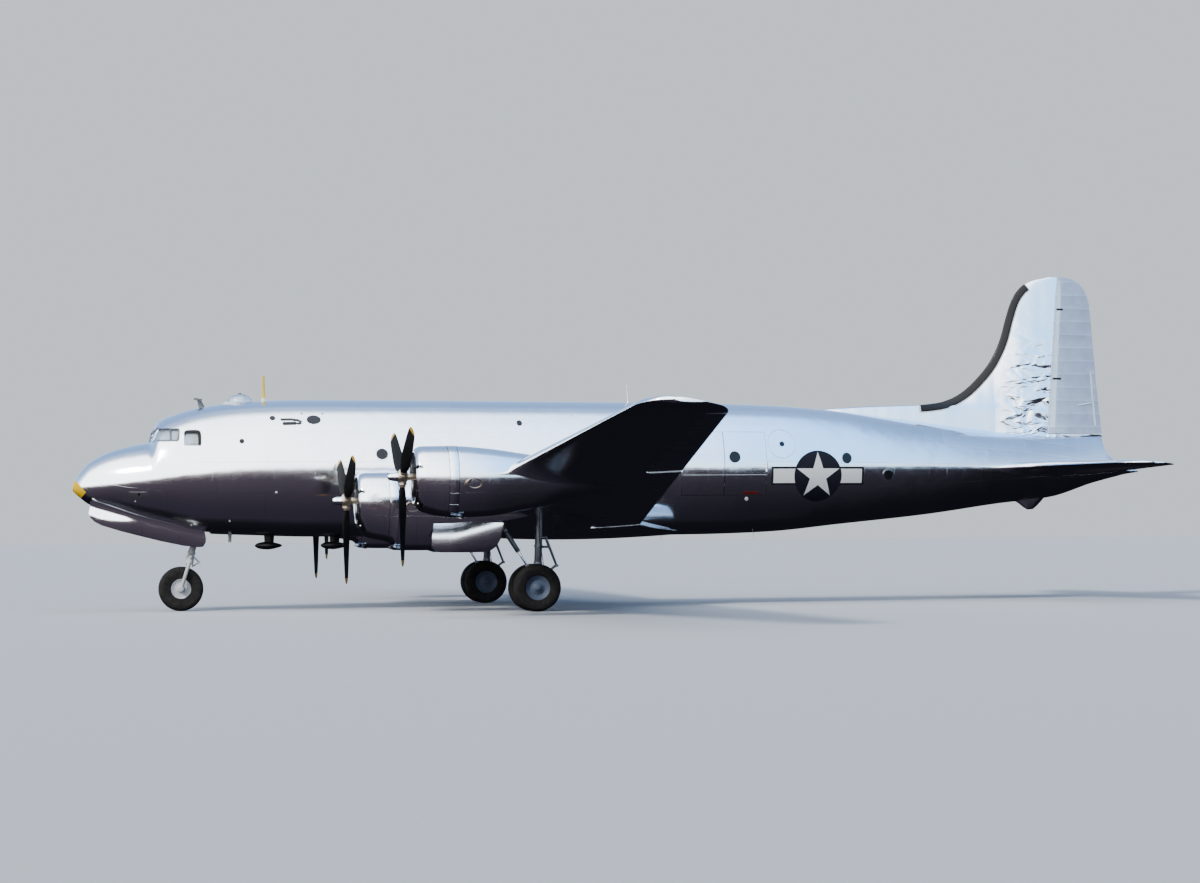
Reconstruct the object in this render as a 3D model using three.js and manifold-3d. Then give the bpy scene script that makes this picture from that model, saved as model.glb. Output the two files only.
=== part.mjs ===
// Four-engine military transport plane of the 1940s, standing on its three-legged gear.
// Millimetres, +Z up, ground at Z = 0, nose towards -X, port wing towards -Y.
// Lengthwise places are stations counted from the nose tip, and the root group centres them.
import * as THREE from 'three';
import { mergeVertices } from 'three/addons/utils/BufferGeometryUtils.js';
import Module from 'manifold-3d';

const wasm = await Module();
wasm.setup();

// Driving dimensions
const LENGTH = 28600;
const HALF_SPAN = 17905;
const TOUCH = 0.3; // gap left where two pieces meet
const RUN = 14; // running gap around a hinged surface
const SIDES = [['left', -1], ['right', 1]];

const rad = THREE.MathUtils.degToRad;
const lerp = THREE.MathUtils.lerp;
const v = (x, y, z) => new THREE.Vector3(x, y, z);

// Materials
const metal = (color, roughness) => new THREE.MeshStandardMaterial({ color, roughness, metalness: 1 });
const paint = (color, roughness) => new THREE.MeshStandardMaterial({ color, roughness, metalness: 0 });
const polished = metal(0xd8dee4, 0.14);
const fabricSilver = paint(0xaeb9cc, 0.6);
const castGrey = metal(0x6e7073, 0.5);
const blackPaint = paint(0x1b1b1d, 0.45);
const legPaint = paint(0xb9bec4, 0.4);
const tyreRubber = paint(0x1d1c1e, 0.85);
const hubPaint = paint(0xb7c3d2, 0.45);
const floorWood = paint(0x8b7b5e, 0.7);
const deckGreen = paint(0x46533f, 0.7);
const clear = new THREE.MeshStandardMaterial({ color: 0xb9cdd6, roughness: 0.05, transparent: true, opacity: 0.4 });

const plane = new THREE.Group();
plane.position.x = -LENGTH / 2;

// A closed three.js geometry as a solid that can be joined and cut
function solidOf(geometry) {
  const bare = geometry.clone();
  bare.deleteAttribute('normal');
  bare.deleteAttribute('uv');
  const merged = mergeVertices(bare, 1e-3);
  return new wasm.Manifold(new wasm.Mesh({
    numProp: 3,
    vertProperties: new Float32Array(merged.attributes.position.array),
    triVerts: new Uint32Array(merged.index.array)
  }));
}

function addPiece(name, solid, material) {
  const mesh = solid.getMesh();
  const geometry = new THREE.BufferGeometry();
  geometry.setAttribute('position', new THREE.BufferAttribute(mesh.vertProperties, 3));
  geometry.setIndex(new THREE.BufferAttribute(mesh.triVerts, 1));
  geometry.computeVertexNormals();
  const piece = new THREE.Mesh(geometry, material);
  piece.name = name;
  plane.add(piece);
}

const joined = solids => solids.reduce((whole, solid) => whole.add(solid));

// Skin over rings of equal point count, closed by a fan at each end
function loft(rings) {
  const count = rings[0].length;
  const points = rings.flat();
  const faces = [];
  for (let r = 0; r + 1 < rings.length; r++) {
    for (let i = 0; i < count; i++) {
      const a = r * count + i;
      const b = r * count + (i + 1) % count;
      faces.push([a, b, b + count], [a, b + count, a + count]);
    }
  }
  const last = (rings.length - 1) * count;
  const middles = [rings[0], rings[rings.length - 1]].map(ring => {
    const sum = ring.reduce((total, p) => total.add(p), v(0, 0, 0));
    return points.push(sum.divideScalar(count)) - 1;
  });
  for (let i = 0; i < count; i++) {
    const next = (i + 1) % count;
    faces.push([middles[0], next, i], [middles[1], last + i, last + next]);
  }
  const volume = faces.reduce((sum, [a, b, c]) => sum + points[a].dot(points[b].clone().cross(points[c])), 0);
  const geometry = new THREE.BufferGeometry().setFromPoints(points);
  geometry.setIndex(faces.flatMap(([a, b, c]) => (volume > 0 ? [a, b, c] : [a, c, b])));
  return solidOf(geometry);
}

function block(x0, x1, y0, y1, z0, z1) {
  const geometry = new THREE.BoxGeometry(x1 - x0, y1 - y0, z1 - z0);
  geometry.translate((x0 + x1) / 2, (y0 + y1) / 2, (z0 + z1) / 2);
  return solidOf(geometry);
}

// Round bar or cone between two points
function rod(from, to, radius, endRadius = radius, segments = 12) {
  const along = to.clone().sub(from);
  const geometry = new THREE.CylinderGeometry(endRadius, radius, along.length(), segments);
  geometry.applyQuaternion(new THREE.Quaternion().setFromUnitVectors(v(0, 1, 0), along.clone().normalize()));
  const middle = from.clone().add(to).divideScalar(2);
  geometry.translate(middle.x, middle.y, middle.z);
  return solidOf(geometry);
}

// Solid of revolution about a line along Y through (x, y, z), from [distance, radius] rows
function wheelShape(x, y, z, rows, segments = 24) {
  const geometry = new THREE.LatheGeometry(rows.map(([along, radius]) => new THREE.Vector2(radius, along)), segments);
  geometry.translate(x, y, z);
  return solidOf(geometry);
}

const mirrored = solid => solid.mirror([0, 1, 0]);

// Fuselage
// station, half width, bottom, top, height of the widest line
const BODY = [
  [25, 105, 3015, 3195, 3105],
  [150, 300, 2895, 3440, 3115],
  [420, 560, 2690, 3732, 3140],
  [920, 880, 2565, 4002, 3180],
  [1560, 1160, 2352, 4181, 3250],
  [1860, 1265, 2268, 4240, 3290],
  [2100, 1335, 2212, 4745, 3320],
  [2480, 1425, 2105, 4925, 3370],
  [3180, 1530, 1950, 5130, 3450],
  [4400, 1585, 1895, 5285, 3540],
  [5900, 1590, 1845, 5330, 3560],
  [14500, 1590, 1820, 5300, 3560],
  [16200, 1580, 1830, 5285, 3565],
  [18000, 1520, 1885, 5235, 3575],
  [20000, 1360, 2075, 5085, 3590],
  [22400, 1085, 2315, 4800, 3600],
  [24500, 790, 2600, 4560, 3600],
  [26000, 520, 2770, 4462, 3590],
  [27250, 285, 3150, 4425, 3575],
  [27540, 235, 3225, 4400, 3565],
  [27610, 222, 3243, 4110, 3560],
  [27740, 198, 3275, 3925, 3550],
  [27920, 160, 3318, 3765, 3530],
  [28200, 95, 3385, 3620, 3490],
  [28600, 25, 3445, 3495, 3470]
];
const BODY_POINTS = 24;
const NOSE_END = 3800;
const CENTER_END = 13700;
const AFT_END = 19600;
const WALL_FRONT = 60;
const WALL_REAR = 22;

function bodyRing([x, halfWidth, bottom, top, widest], inset) {
  return Array.from({ length: BODY_POINTS }, (_, i) => {
    const angle = (i / BODY_POINTS) * 2 * Math.PI;
    const height = Math.sin(angle) > 0 ? top - widest : widest - bottom;
    return v(x, (halfWidth - inset) * Math.cos(angle), widest + (height - inset) * Math.sin(angle));
  });
}

const bodySkin = inset => loft(BODY.map(row => bodyRing(row, inset)));
const bodyOuter = bodySkin(0);
const bodyClear = bodySkin(-TOUCH);
const hollowRows = BODY.filter(row => row[0] > 100 && row[0] < 27500);
const hollow = extra => loft(hollowRows.map(row => bodyRing(row, (row[0] < CENTER_END ? WALL_FRONT : WALL_REAR) + extra)));
const bodyHollow = hollow(0);
const shell = bodyOuter.subtract(bodyHollow);
const slice = (solid, x0, x1) => solid.intersect(block(x0 + TOUCH / 2, x1 - TOUCH / 2, -3000, 3000, 0, 9000));

// Nose gear well, open below
const WELL = { front: 450, rear: 3400, halfWidth: 370, top: 2760, wall: 30 };
const wellBox = grow => block(WELL.front - grow, WELL.rear + grow, -WELL.halfWidth - grow, WELL.halfWidth + grow,
  1500, WELL.top + grow);

// Cockpit panes: x0, x1, y0, y1, z0, z1 on the port side
const PANES = [
  [1700, 2300, -600, -40, 4330, 4600],
  [1905, 2350, -1600, -700, 4265, 4535],
  [2400, 2580, -1600, -700, 4265, 4525],
  [2710, 3100, -1800, -700, 4130, 4490]
];
const paneCuts = joined(PANES.flatMap(([x0, x1, y0, y1, z0, z1]) => [
  block(x0, x1, y0, y1, z0, z1), block(x0, x1, -y1, -y0, z0, z1)
]));

// Flat pad under the body or wing that a jack bears on
const JACK_PAD = { radius: 70, depth: 30 };
const jackPad = (x, y, z) => rod(v(x, y, z), v(x, y, z + JACK_PAD.depth + 20), JACK_PAD.radius);
const NOSE_PAD = { x: 3600, z: 1895 };

const noseWhole = shell.add(bodyOuter.intersect(wellBox(WELL.wall))).add(jackPad(NOSE_PAD.x, 0, NOSE_PAD.z));
const ASTRODOME = { x: 4150, z: 5262, radius: 330, rise: 215 };
addPiece('fuselage_nose', slice(noseWhole.subtract(wellBox(0)).subtract(paneCuts), 0, NOSE_END), polished);

// Cargo doorway on the port side, closed by two leaves hinged at its outer edges
const DOORWAY = { front: 15300, rear: 17580, bottom: 2830, top: 4480, gap: 12 };
const doorMiddle = (DOORWAY.front + DOORWAY.rear) / 2;
const doorwayCut = block(DOORWAY.front, DOORWAY.rear, -2000, -1000, DOORWAY.bottom, DOORWAY.top);
const domeCut = rod(v(ASTRODOME.x, 0, 5000), v(ASTRODOME.x, 0, 5600), ASTRODOME.radius - 40, undefined, 20);

addPiece('fuselage_center', slice(shell.subtract(domeCut), NOSE_END, CENTER_END), polished);

// Hinge knuckles of a cargo door: one on the leaf between two on the body
const KNUCKLE = { radius: 26, slack: 0.4, leaf: [3500, 3620], body: [[3430, 3500], [3620, 3690]] };
const LEAVES = [
  { name: 'cargo_door_front', x: DOORWAY.front + DOORWAY.gap, y: -1592, edge: doorMiddle - DOORWAY.gap },
  { name: 'cargo_door_rear', x: DOORWAY.rear - DOORWAY.gap, y: -1541, edge: doorMiddle + DOORWAY.gap }
];
const knuckle = ({ x, y }, [z0, z1], grow = 0) => rod(
  v(x, y, z0 - grow), v(x, y, z1 + grow), KNUCKLE.radius + grow, undefined, 20
);
const bodyKnuckles = joined(LEAVES.flatMap(leaf => KNUCKLE.body.map(span => knuckle(leaf, span))));
const leafRoom = joined(LEAVES.map(leaf => knuckle(leaf, KNUCKLE.leaf, KNUCKLE.slack)));
const aftShell = shell.subtract(doorwayCut).add(bodyKnuckles).subtract(leafRoom);
addPiece('fuselage_aft', slice(aftShell, CENTER_END, AFT_END), polished);

// Tail cone with the bumper under it
const BUMPER = { x: 25480, z: 2610, length: 560, halfWidth: 120, depth: 170 };
const bumperShape = new THREE.SphereGeometry(1, 14, 8);
bumperShape.scale(BUMPER.length / 2, BUMPER.halfWidth, BUMPER.depth);
bumperShape.translate(BUMPER.x, 0, BUMPER.z);
const tailBumper = solidOf(bumperShape).subtract(bodyHollow);
// The rudder turns on a leaning line and stands on a pin in the tail cone
const HINGE = { x: 25950, z: 4458, slope: 0.0861 };
const rudderLine = (z, y = 0) => v(HINGE.x + (z - HINGE.z) * HINGE.slope, y, z);
const rudderPin = (radius, segments, top = 4640) => rod(rudderLine(4380), rudderLine(top), radius, radius, segments);
addPiece('fuselage_tail', slice(shell.add(tailBumper).add(rudderPin(30, 12)), AFT_END, LENGTH + 10), polished);

for (const leaf of LEAVES) {
  const width = Math.abs(leaf.edge - leaf.x);
  const swing = rod(v(leaf.x, leaf.y, 2000), v(leaf.x, leaf.y, 5000), width, undefined, 96);
  const panel = shell.intersect(block(Math.min(leaf.x, leaf.edge), Math.max(leaf.x, leaf.edge), -2000, -1000,
    DOORWAY.bottom + DOORWAY.gap, DOORWAY.top - DOORWAY.gap));
  const bodyRoom = joined(KNUCKLE.body.map(span => knuckle(leaf, span, KNUCKLE.slack)));
  addPiece(leaf.name, panel.intersect(swing).add(knuckle(leaf, KNUCKLE.leaf)).subtract(bodyRoom), polished);
}

// Hold floor and flight deck, both fitted to the inside of the skin
const FLOOR = { top: 2800, thickness: 60, rear: 21500 };
const DECK = { front: 1820, rear: 4600, top: 3060, thickness: 50 };
const fitted = hollow(TOUCH);
addPiece('cabin_floor', fitted.intersect(block(DECK.rear + 400, FLOOR.rear, -1600, 1600,
  FLOOR.top - FLOOR.thickness, FLOOR.top)), floorWood);

// Each seat: sideways place; the panel stands ahead of both
const SEAT = { x: 3000, y: 520, width: 480, cushion: 400, back: 760, thick: 90 };
const seats = [-SEAT.y, SEAT.y].map(y => {
  const [y0, y1] = [y - SEAT.width / 2, y + SEAT.width / 2];
  const pan = block(SEAT.x - 460, SEAT.x, y0, y1, DECK.top - 10, DECK.top + SEAT.cushion);
  return pan.add(block(SEAT.x - SEAT.thick, SEAT.x, y0, y1, DECK.top, DECK.top + SEAT.cushion + SEAT.back));
});
const panel = block(2080, 2200, -900, 900, DECK.top - 10, 4180);
const pedestal = block(2150, 2500, -160, 160, DECK.top - 10, 3800);
const bulkhead = block(DECK.rear - 60, DECK.rear, -1600, 1600, FLOOR.top - FLOOR.thickness, 5400)
  .subtract(block(DECK.rear - 100, DECK.rear + 100, -330, 330, DECK.top, 4900));
const deck = joined([block(DECK.front, DECK.rear, -1600, 1600, DECK.top - DECK.thickness, DECK.top),
  ...seats, panel, pedestal, bulkhead]);
addPiece('flight_deck', deck.intersect(fitted), deckGreen);

// Glass band behind the cockpit panes, and the dome over the navigator's place
const GLASS = 10;
addPiece('cockpit_glazing', fitted.subtract(hollow(TOUCH + GLASS)).intersect(
  block(1750, 3180, -1700, 1700, 4215, 4640)).subtract(block(2560, 3200, -600, 600, 4215, 4640)), clear);
const domeShell = inset => {
  const ball = new THREE.SphereGeometry(1, 12, 6);
  ball.scale(ASTRODOME.radius - inset, ASTRODOME.radius - inset, ASTRODOME.rise - inset);
  ball.translate(ASTRODOME.x, 0, ASTRODOME.z);
  return solidOf(ball);
};
addPiece('astrodome', domeShell(0).subtract(bodyClear).subtract(domeShell(GLASS)), clear);

// Wing
// Straight tapered halves with five-digit sections set at a fixed incidence
const WING = {
  lead: 8440, sweep: 0.115, rootChord: 5860, tipChord: 1700, rootHeight: 2200, dihedral: 0.1228,
  rootThick: 0.16, tipThick: 0.12, incidence: rad(4), tipStart: 17250
};
const FOIL_POINTS = 9;

// Half thickness and camber at a fraction of the chord
function foilAt(fraction, thick) {
  const f = Math.max(fraction, 0);
  const half = 5 * thick * (0.2969 * Math.sqrt(f) - 0.126 * f - 0.3516 * f ** 2 + 0.2843 * f ** 3 - 0.1015 * f ** 4);
  const m = 0.2025;
  const k = 15.957 / 6;
  const camber = f < m ? k * (f ** 3 - 3 * m * f ** 2 + m * m * (3 - m) * f) : k * m ** 3 * (1 - f);
  return { half: Math.max(half, 0.002), camber };
}

// Place of a chord fraction and a height above the chord line, at one station of a surface
function onChord(rib, fraction, height) {
  const along = fraction * rib.chord;
  return v(
    rib.lead + along * Math.cos(rib.incidence) + height * Math.sin(rib.incidence),
    rib.y,
    rib.z - along * Math.sin(rib.incidence) + height * Math.cos(rib.incidence)
  );
}

function ribRing(rib) {
  const ring = [];
  for (let i = 0; i <= FOIL_POINTS; i++) {
    const fraction = (1 + Math.cos((i / FOIL_POINTS) * Math.PI)) / 2;
    const { half, camber } = foilAt(fraction, rib.thick);
    ring.push(onChord(rib, fraction, (camber * rib.cambered + half) * rib.chord));
  }
  for (let i = FOIL_POINTS - 1; i >= 0; i--) {
    const fraction = (1 + Math.cos((i / FOIL_POINTS) * Math.PI)) / 2;
    const { half, camber } = foilAt(fraction, rib.thick);
    ring.push(onChord(rib, fraction, (camber * rib.cambered - half) * rib.chord));
  }
  return ring;
}

// Inside of a hollow surface, between its front and rear spars
function boxRing(rib, { wall, fractions }) {
  const side = sign => fractions.map(fraction => {
    const { half, camber } = foilAt(fraction, rib.thick);
    return onChord(rib, fraction, camber * rib.cambered * rib.chord + sign * (half * rib.chord - wall));
  });
  return [...side(-1), ...side(1).reverse()];
}

// Round nose of radius and run clearance, about the hinge point at a chord fraction
const NOSE_STEPS = 6;
function noseArc(rib, fraction, radius, centre) {
  return Array.from({ length: NOSE_STEPS + 1 }, (_, i) => {
    const angle = Math.PI / 2 + (i / NOSE_STEPS) * Math.PI;
    return onChord(rib, fraction + (radius * Math.cos(angle)) / rib.chord, centre + radius * Math.sin(angle));
  });
}

function hingeOf(rib, fraction) {
  const { half, camber } = foilAt(fraction, rib.thick);
  return { radius: half * rib.chord, centre: camber * rib.cambered * rib.chord };
}

// Hinged rear part of a surface, from its round nose to its trailing edge
function flapRing(rib, fraction, reach) {
  const { radius, centre } = hingeOf(rib, fraction);
  const steps = [0.35, 0.7, 1].map(t => lerp(fraction, reach, t));
  const side = sign => steps.map(f => {
    const { half, camber } = foilAt(f, rib.thick);
    return onChord(rib, f, (camber * rib.cambered + sign * half) * rib.chord);
  });
  return [...noseArc(rib, fraction, radius, centre), ...side(-1), ...side(1).reverse()];
}

// Room that the hinged part needs: its nose and everything behind.
// A part that swings far down also needs the lower lip cut straight below the hinge nose.
function coveRing(rib, { hinge, lipCut }) {
  const { radius, centre } = hingeOf(rib, hinge);
  const room = radius + RUN;
  const behind = 1.2;
  const arc = noseArc(rib, hinge, room, centre);
  const below = lipCut ? centre - 2 * room : centre - room;
  if (lipCut) {
    const lip = room * Math.SQRT1_2;
    arc.splice(-2, 2, onChord(rib, hinge - lip / rib.chord, centre - lip), onChord(rib, hinge - lip / rib.chord, below));
  }
  return [...arc, onChord(rib, behind, below), onChord(rib, behind, centre + room)];
}

function wingRib(y) {
  const t = y / HALF_SPAN;
  return {
    y: -y, cambered: 1, incidence: WING.incidence,
    lead: WING.lead + WING.sweep * y, z: WING.rootHeight + WING.dihedral * y,
    chord: lerp(WING.rootChord, WING.tipChord, t), thick: lerp(WING.rootThick, WING.tipThick, t)
  };
}

// Rounded tip: distance out, share of the chord kept, share of it cut from the front
const WING_TIP = [[17250, 1, 0], [17600, 0.9, 0.55], [17800, 0.7, 0.5], [17905, 0.35, 0.5]];
const tipRibs = WING_TIP.map(([y, keep, front]) => {
  const rib = wingRib(y);
  return { ...rib, lead: rib.lead + rib.chord * (1 - keep) * front, chord: rib.chord * keep };
});
// Root fairing: distance out, length added behind, thickness share
const FILLET = [[1000, 1150, 1.12], [1560, 1050, 1.1], [1800, 420, 1.03]];
const filletRibs = FILLET.map(([y, behind, share]) => {
  const rib = wingRib(y);
  return { ...rib, chord: rib.chord + behind, thick: (rib.thick * share * rib.chord) / (rib.chord + behind) };
});
const wingFull = loft([...filletRibs, wingRib(2150), wingRib(8390), ...tipRibs].map(ribRing));

// Hinged surfaces of a wing: inboard end, outboard end, hinge fraction
const FLAP = { inner: 2250, outer: 10380, hinge: 0.79, lipCut: true };
const AILERON = { inner: 10500, outer: 17150, hinge: 0.78 };
const END_GAP = 26;
const PIN = { radius: 17, bore: 17.8, inside: 70, deeper: 2, outside: 40 };
// Pins on the hinge line at both ends of a surface, or the bores that take them
const pinsOf = (ribAt, { inner, outer, hinge }, radius, segments, deeper = 0) => {
  const [a, b] = [inner, outer].map(y => {
    const rib = ribAt(y);
    return onChord(rib, hinge, hingeOf(rib, hinge).centre);
  });
  const along = b.clone().sub(a).normalize();
  const end = (p, sign) => rod(
    p.clone().addScaledVector(along, -sign * (END_GAP + PIN.outside)), p.clone().addScaledVector(along, sign * (PIN.inside + deeper)),
    radius, radius, segments
  );
  return end(a, 1).add(end(b, -1));
};
const coveOf = (ribAt, part) => loft([
  coveRing(ribAt(part.inner - END_GAP), part), coveRing(ribAt(part.outer + END_GAP), part)
]);
const WING_BOX = { wall: 22, fractions: [0.04, 0.14, 0.3, 0.52, 0.73] };
const wingHollow = loft([1000, 8390, 16800].map(wingRib).map(rib => boxRing(rib, WING_BOX)));
const WING_PAD = { y: 5100, fraction: 0.26 };
const padRib = wingRib(WING_PAD.y);
const padFoil = foilAt(WING_PAD.fraction, padRib.thick);
const padTop = onChord(padRib, WING_PAD.fraction, (padFoil.camber - padFoil.half) * padRib.chord);
const wingPad = jackPad(padTop.x, padTop.y, padTop.z - JACK_PAD.depth);
const wingPins = part => pinsOf(wingRib, part, PIN.radius, 10);
const wingLeft = wingFull.subtract(coveOf(wingRib, FLAP)).subtract(coveOf(wingRib, AILERON)).subtract(wingHollow)
  .add(wingPad).add(wingPins(FLAP)).add(wingPins(AILERON));

for (const [side, sign] of SIDES) {
  const turned = solid => (sign < 0 ? solid : mirrored(solid));
  addPiece(`wing_${side}`, turned(wingLeft).subtract(bodyClear), polished);
  for (const [name, part] of [['flap', FLAP], ['aileron', AILERON]]) {
    const surface = loft([flapRing(wingRib(part.inner), part.hinge, 1), flapRing(wingRib(part.outer), part.hinge, 1)]);
    const bored = surface.subtract(pinsOf(wingRib, part, PIN.bore, 20, PIN.deeper));
    addPiece(`${name}_${side}`, turned(bored), name === 'flap' ? polished : fabricSilver);
  }
}

// Tail surfaces
// Tailplane: distance out, leading edge, chord
const TAILPLANE = [[180, 24080, 3560], [5450, 25500, 1560], [5800, 25720, 1180], [5960, 25960, 760], [6020, 26200, 380]];
const TAIL_Z = 3550;
const tailRib = ([y, lead, chord]) => ({
  y: -y, lead, chord, z: TAIL_Z, thick: 0.11, cambered: 0, incidence: rad(2)
});
const ELEVATOR = { inner: 560, outer: 5400, hinge: 0.6 };
const tailRibAt = y => {
  const [[y0, lead0, chord0], [y1, lead1, chord1]] = TAILPLANE;
  const t = (y - y0) / (y1 - y0);
  return tailRib([y, lerp(lead0, lead1, t), lerp(chord0, chord1, t)]);
};
const TAIL_BOX = { wall: 14, fractions: [0.05, 0.2, 0.4, 0.52] };
const tailHollow = loft([180, 5300].map(tailRibAt).map(rib => boxRing(rib, TAIL_BOX)));
const tailLeft = loft(TAILPLANE.map(tailRib).map(ribRing)).subtract(coveOf(tailRibAt, ELEVATOR)).subtract(tailHollow)
  .add(pinsOf(tailRibAt, ELEVATOR, PIN.radius, 10));
const elevatorLeft = loft([ELEVATOR.inner, ELEVATOR.outer].map(y => flapRing(tailRibAt(y), ELEVATOR.hinge, 1)))
  .subtract(pinsOf(tailRibAt, ELEVATOR, PIN.bore, 20, PIN.deeper));
for (const [side, sign] of SIDES) {
  addPiece(`tailplane_${side}`, (sign < 0 ? tailLeft : mirrored(tailLeft)).subtract(bodyClear), polished);
  addPiece(`elevator_${side}`, sign < 0 ? elevatorLeft : mirrored(elevatorLeft), fabricSilver);
}

// Fin: height, leading edge; the low rows are the long dorsal ridge
const FIN = [
  [4300, 19300], [5080, 19300], [5225, 20900], [5262, 22380], [5347, 22980], [5566, 23470], [5921, 23900],
  [6440, 24340], [7042, 24640], [7643, 24820], [8137, 25000], [8468, 25240], [8664, 25560], [8770, 26000]
];
// Rudder: height, trailing edge
const RUDDER = [
  [4500, 27560], [5420, 27460], [6792, 27340], [8028, 27240], [8302, 27160], [8575, 26990], [8700, 26800], [8770, 26560]
];
const hingeX = z => rudderLine(z).x;
const finHalf = z => lerp(205, 70, (z - 4300) / (8770 - 4300));
const FIN_STEPS = [1, 0.8, 0.55, 0.3, 0.12, 0.03, 0];
const finRing = ([z, lead]) => {
  const length = hingeX(z) - lead;
  const half = f => finHalf(z) * Math.min(1, 1.9 * Math.sqrt(f) - 0.9 * f);
  const right = FIN_STEPS.map(f => v(lead + f * length, half(f), z));
  const left = FIN_STEPS.slice(0, -1).reverse().map(f => v(lead + f * length, -half(f), z));
  return [...right, ...left];
};
const rudderNose = (z, radius) => Array.from({ length: NOSE_STEPS + 1 }, (_, i) => {
  const angle = Math.PI / 2 + (i / NOSE_STEPS) * Math.PI;
  return v(hingeX(z) + radius * Math.cos(angle), radius * Math.sin(angle), z);
});
const rudderRing = ([z, trail]) => [
  ...rudderNose(z, finHalf(z)), v(lerp(hingeX(z), trail, 0.5), -finHalf(z) * 0.55, z), v(trail, -5, z),
  v(trail, 5, z), v(lerp(hingeX(z), trail, 0.5), finHalf(z) * 0.55, z)
];
const rudderRoom = z => [...rudderNose(z, finHalf(z) + RUN), v(28600, -600, z), v(28600, 600, z)];
const FIN_WALL = 16;
const finHollow = loft([[4300, 22900], [5500, 23900], [6440, 24700], [7900, 25200]].map(([z, lead]) => {
  const half = finHalf(z) - FIN_WALL;
  return [v(lead, -half * 0.5, z), v(hingeX(z) - 340, -half, z), v(hingeX(z) - 340, half, z), v(lead, half * 0.5, z)];
}));
const finSolid = loft(FIN.map(finRing)).subtract(loft([4200, 8900].map(rudderRoom))).subtract(bodyClear)
  .subtract(finHollow);
addPiece('fin', finSolid.subtract(rudderPin(32, 24)), polished);
addPiece('rudder', loft(RUDDER.map(rudderRing)).subtract(bodySkin(-RUN)).subtract(rudderPin(31, 24, 4643)), fabricSilver);

// Nacelles
// station from the cowl lip, half width, depth below and height above the shaft line
const COWL_RADIUS = 700;
const INNER_NACELLE = [
  [0, 585, 590, 585], [60, 655, 680, 650], [200, 690, 860, 685], [780, 705, 1010, 690], [900, 705, 1175, 680],
  [1800, 700, 1195, 640], [3300, 690, 1060, 560], [4600, 620, 840, 420], [5300, 440, 680, 300], [5850, 150, 480, 60]
];
const OUTER_NACELLE = [
  [0, 585, 590, 585], [60, 655, 680, 650], [200, 690, 790, 685], [860, 705, 910, 690],
  [1500, 690, 900, 650], [2600, 590, 740, 500], [3800, 380, 480, 300], [4700, 120, 330, 40]
];
const NACELLE_POINTS = 18;
// name, side, sideways place, shaft height, propeller station, shape
const ENGINES = [
  { number: 1, y: -8390, z: 3169, prop: 7180, rows: OUTER_NACELLE },
  { number: 2, y: -3774, z: 2703, prop: 6433, rows: INNER_NACELLE },
  { number: 3, y: 3774, z: 2703, prop: 6433, rows: INNER_NACELLE },
  { number: 4, y: 8390, z: 3169, prop: 7180, rows: OUTER_NACELLE }
];
const LIP_BEHIND_PROP = 240;
const FIREWALL = 1250; // from the cowl lip
const ENGINE = { radius: 585, caseRadius: 330, front: 250, nose: 180, cylinders: 7, bore: 105 };
const GEAR_WELL = { front: 8450, rear: 11450, halfWidth: 600, top: 2340 };
const PROP = { radius: 1994, hub: 150, dome: 110, domeLength: 330, blades: 3 };
// share of the radius, chord, thickness, pitch in degrees
const BLADE = [
  [0.04, 150, 150, 60], [0.14, 160, 130, 55], [0.3, 270, 62, 46], [0.6, 305, 34, 32], [0.88, 275, 22, 25],
  [0.97, 190, 14, 23], [1, 60, 8, 22]
];

function nacelleRing([station, halfWidth, below, above], engine) {
  return Array.from({ length: NACELLE_POINTS }, (_, i) => {
    const angle = (i / NACELLE_POINTS) * 2 * Math.PI;
    const height = Math.sin(angle) > 0 ? above : below;
    const x = engine.prop + LIP_BEHIND_PROP + station;
    return v(x, engine.y + halfWidth * Math.cos(angle), engine.z + height * Math.sin(angle));
  });
}

// One blade along +Z at the hub, chord turned from the disc plane by the pitch;
// each screw turns clockwise seen from behind
function bladeAt(angle) {
  const turn = new THREE.Matrix4().makeRotationX(angle);
  return loft(BLADE.map(([share, chord, thick, pitch]) => Array.from({ length: 6 }, (_, i) => {
    const around = (i / 6) * 2 * Math.PI;
    const along = (chord / 2) * Math.cos(around);
    const across = (thick / 2) * Math.sin(around);
    const p = -rad(pitch);
    return v(
      along * Math.sin(p) + across * Math.cos(p), along * Math.cos(p) - across * Math.sin(p), share * PROP.radius
    ).applyMatrix4(turn);
  })));
}

const propeller = joined([
  rod(v(-95, 0, 0), v(95, 0, 0), PROP.hub, PROP.hub, 12),
  rod(v(-PROP.domeLength, 0, 0), v(-90, 0, 0), PROP.dome * 0.72, PROP.dome, 12),
  rod(v(90, 0, 0), v(LIP_BEHIND_PROP + ENGINE.front - 20, 0, 0), 70, 70, 12),
  ...Array.from({ length: PROP.blades }, (_, i) => bladeAt(Math.PI + (i * 2 * Math.PI) / PROP.blades))
]);

// The front row of cylinders round a crankcase, with the reduction gear case in front
const engineFrontX = LIP_BEHIND_PROP + ENGINE.front;
const cylinders = Array.from({ length: ENGINE.cylinders }, (_, i) => {
  const angle = (i / ENGINE.cylinders) * 2 * Math.PI;
  const at = r => v(engineFrontX + 170, r * Math.sin(angle), r * Math.cos(angle));
  return rod(at(200), at(ENGINE.radius), ENGINE.bore, ENGINE.bore, 6);
});
const engineSolid = joined([
  rod(v(engineFrontX, 0, 0), v(LIP_BEHIND_PROP + FIREWALL - TOUCH, 0, 0), ENGINE.caseRadius, ENGINE.caseRadius, 12),
  rod(v(LIP_BEHIND_PROP + ENGINE.nose, 0, 0), v(engineFrontX + 10, 0, 0), 170, 300, 12),
  rod(v(engineFrontX + 330, 0, 0), v(LIP_BEHIND_PROP + FIREWALL - TOUCH, 0, 0), 520, 460, 12),
  ...cylinders
]).subtract(rod(v(-200, 0, 0), v(engineFrontX, 0, 0), 71.4, 71.4, 20));

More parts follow.
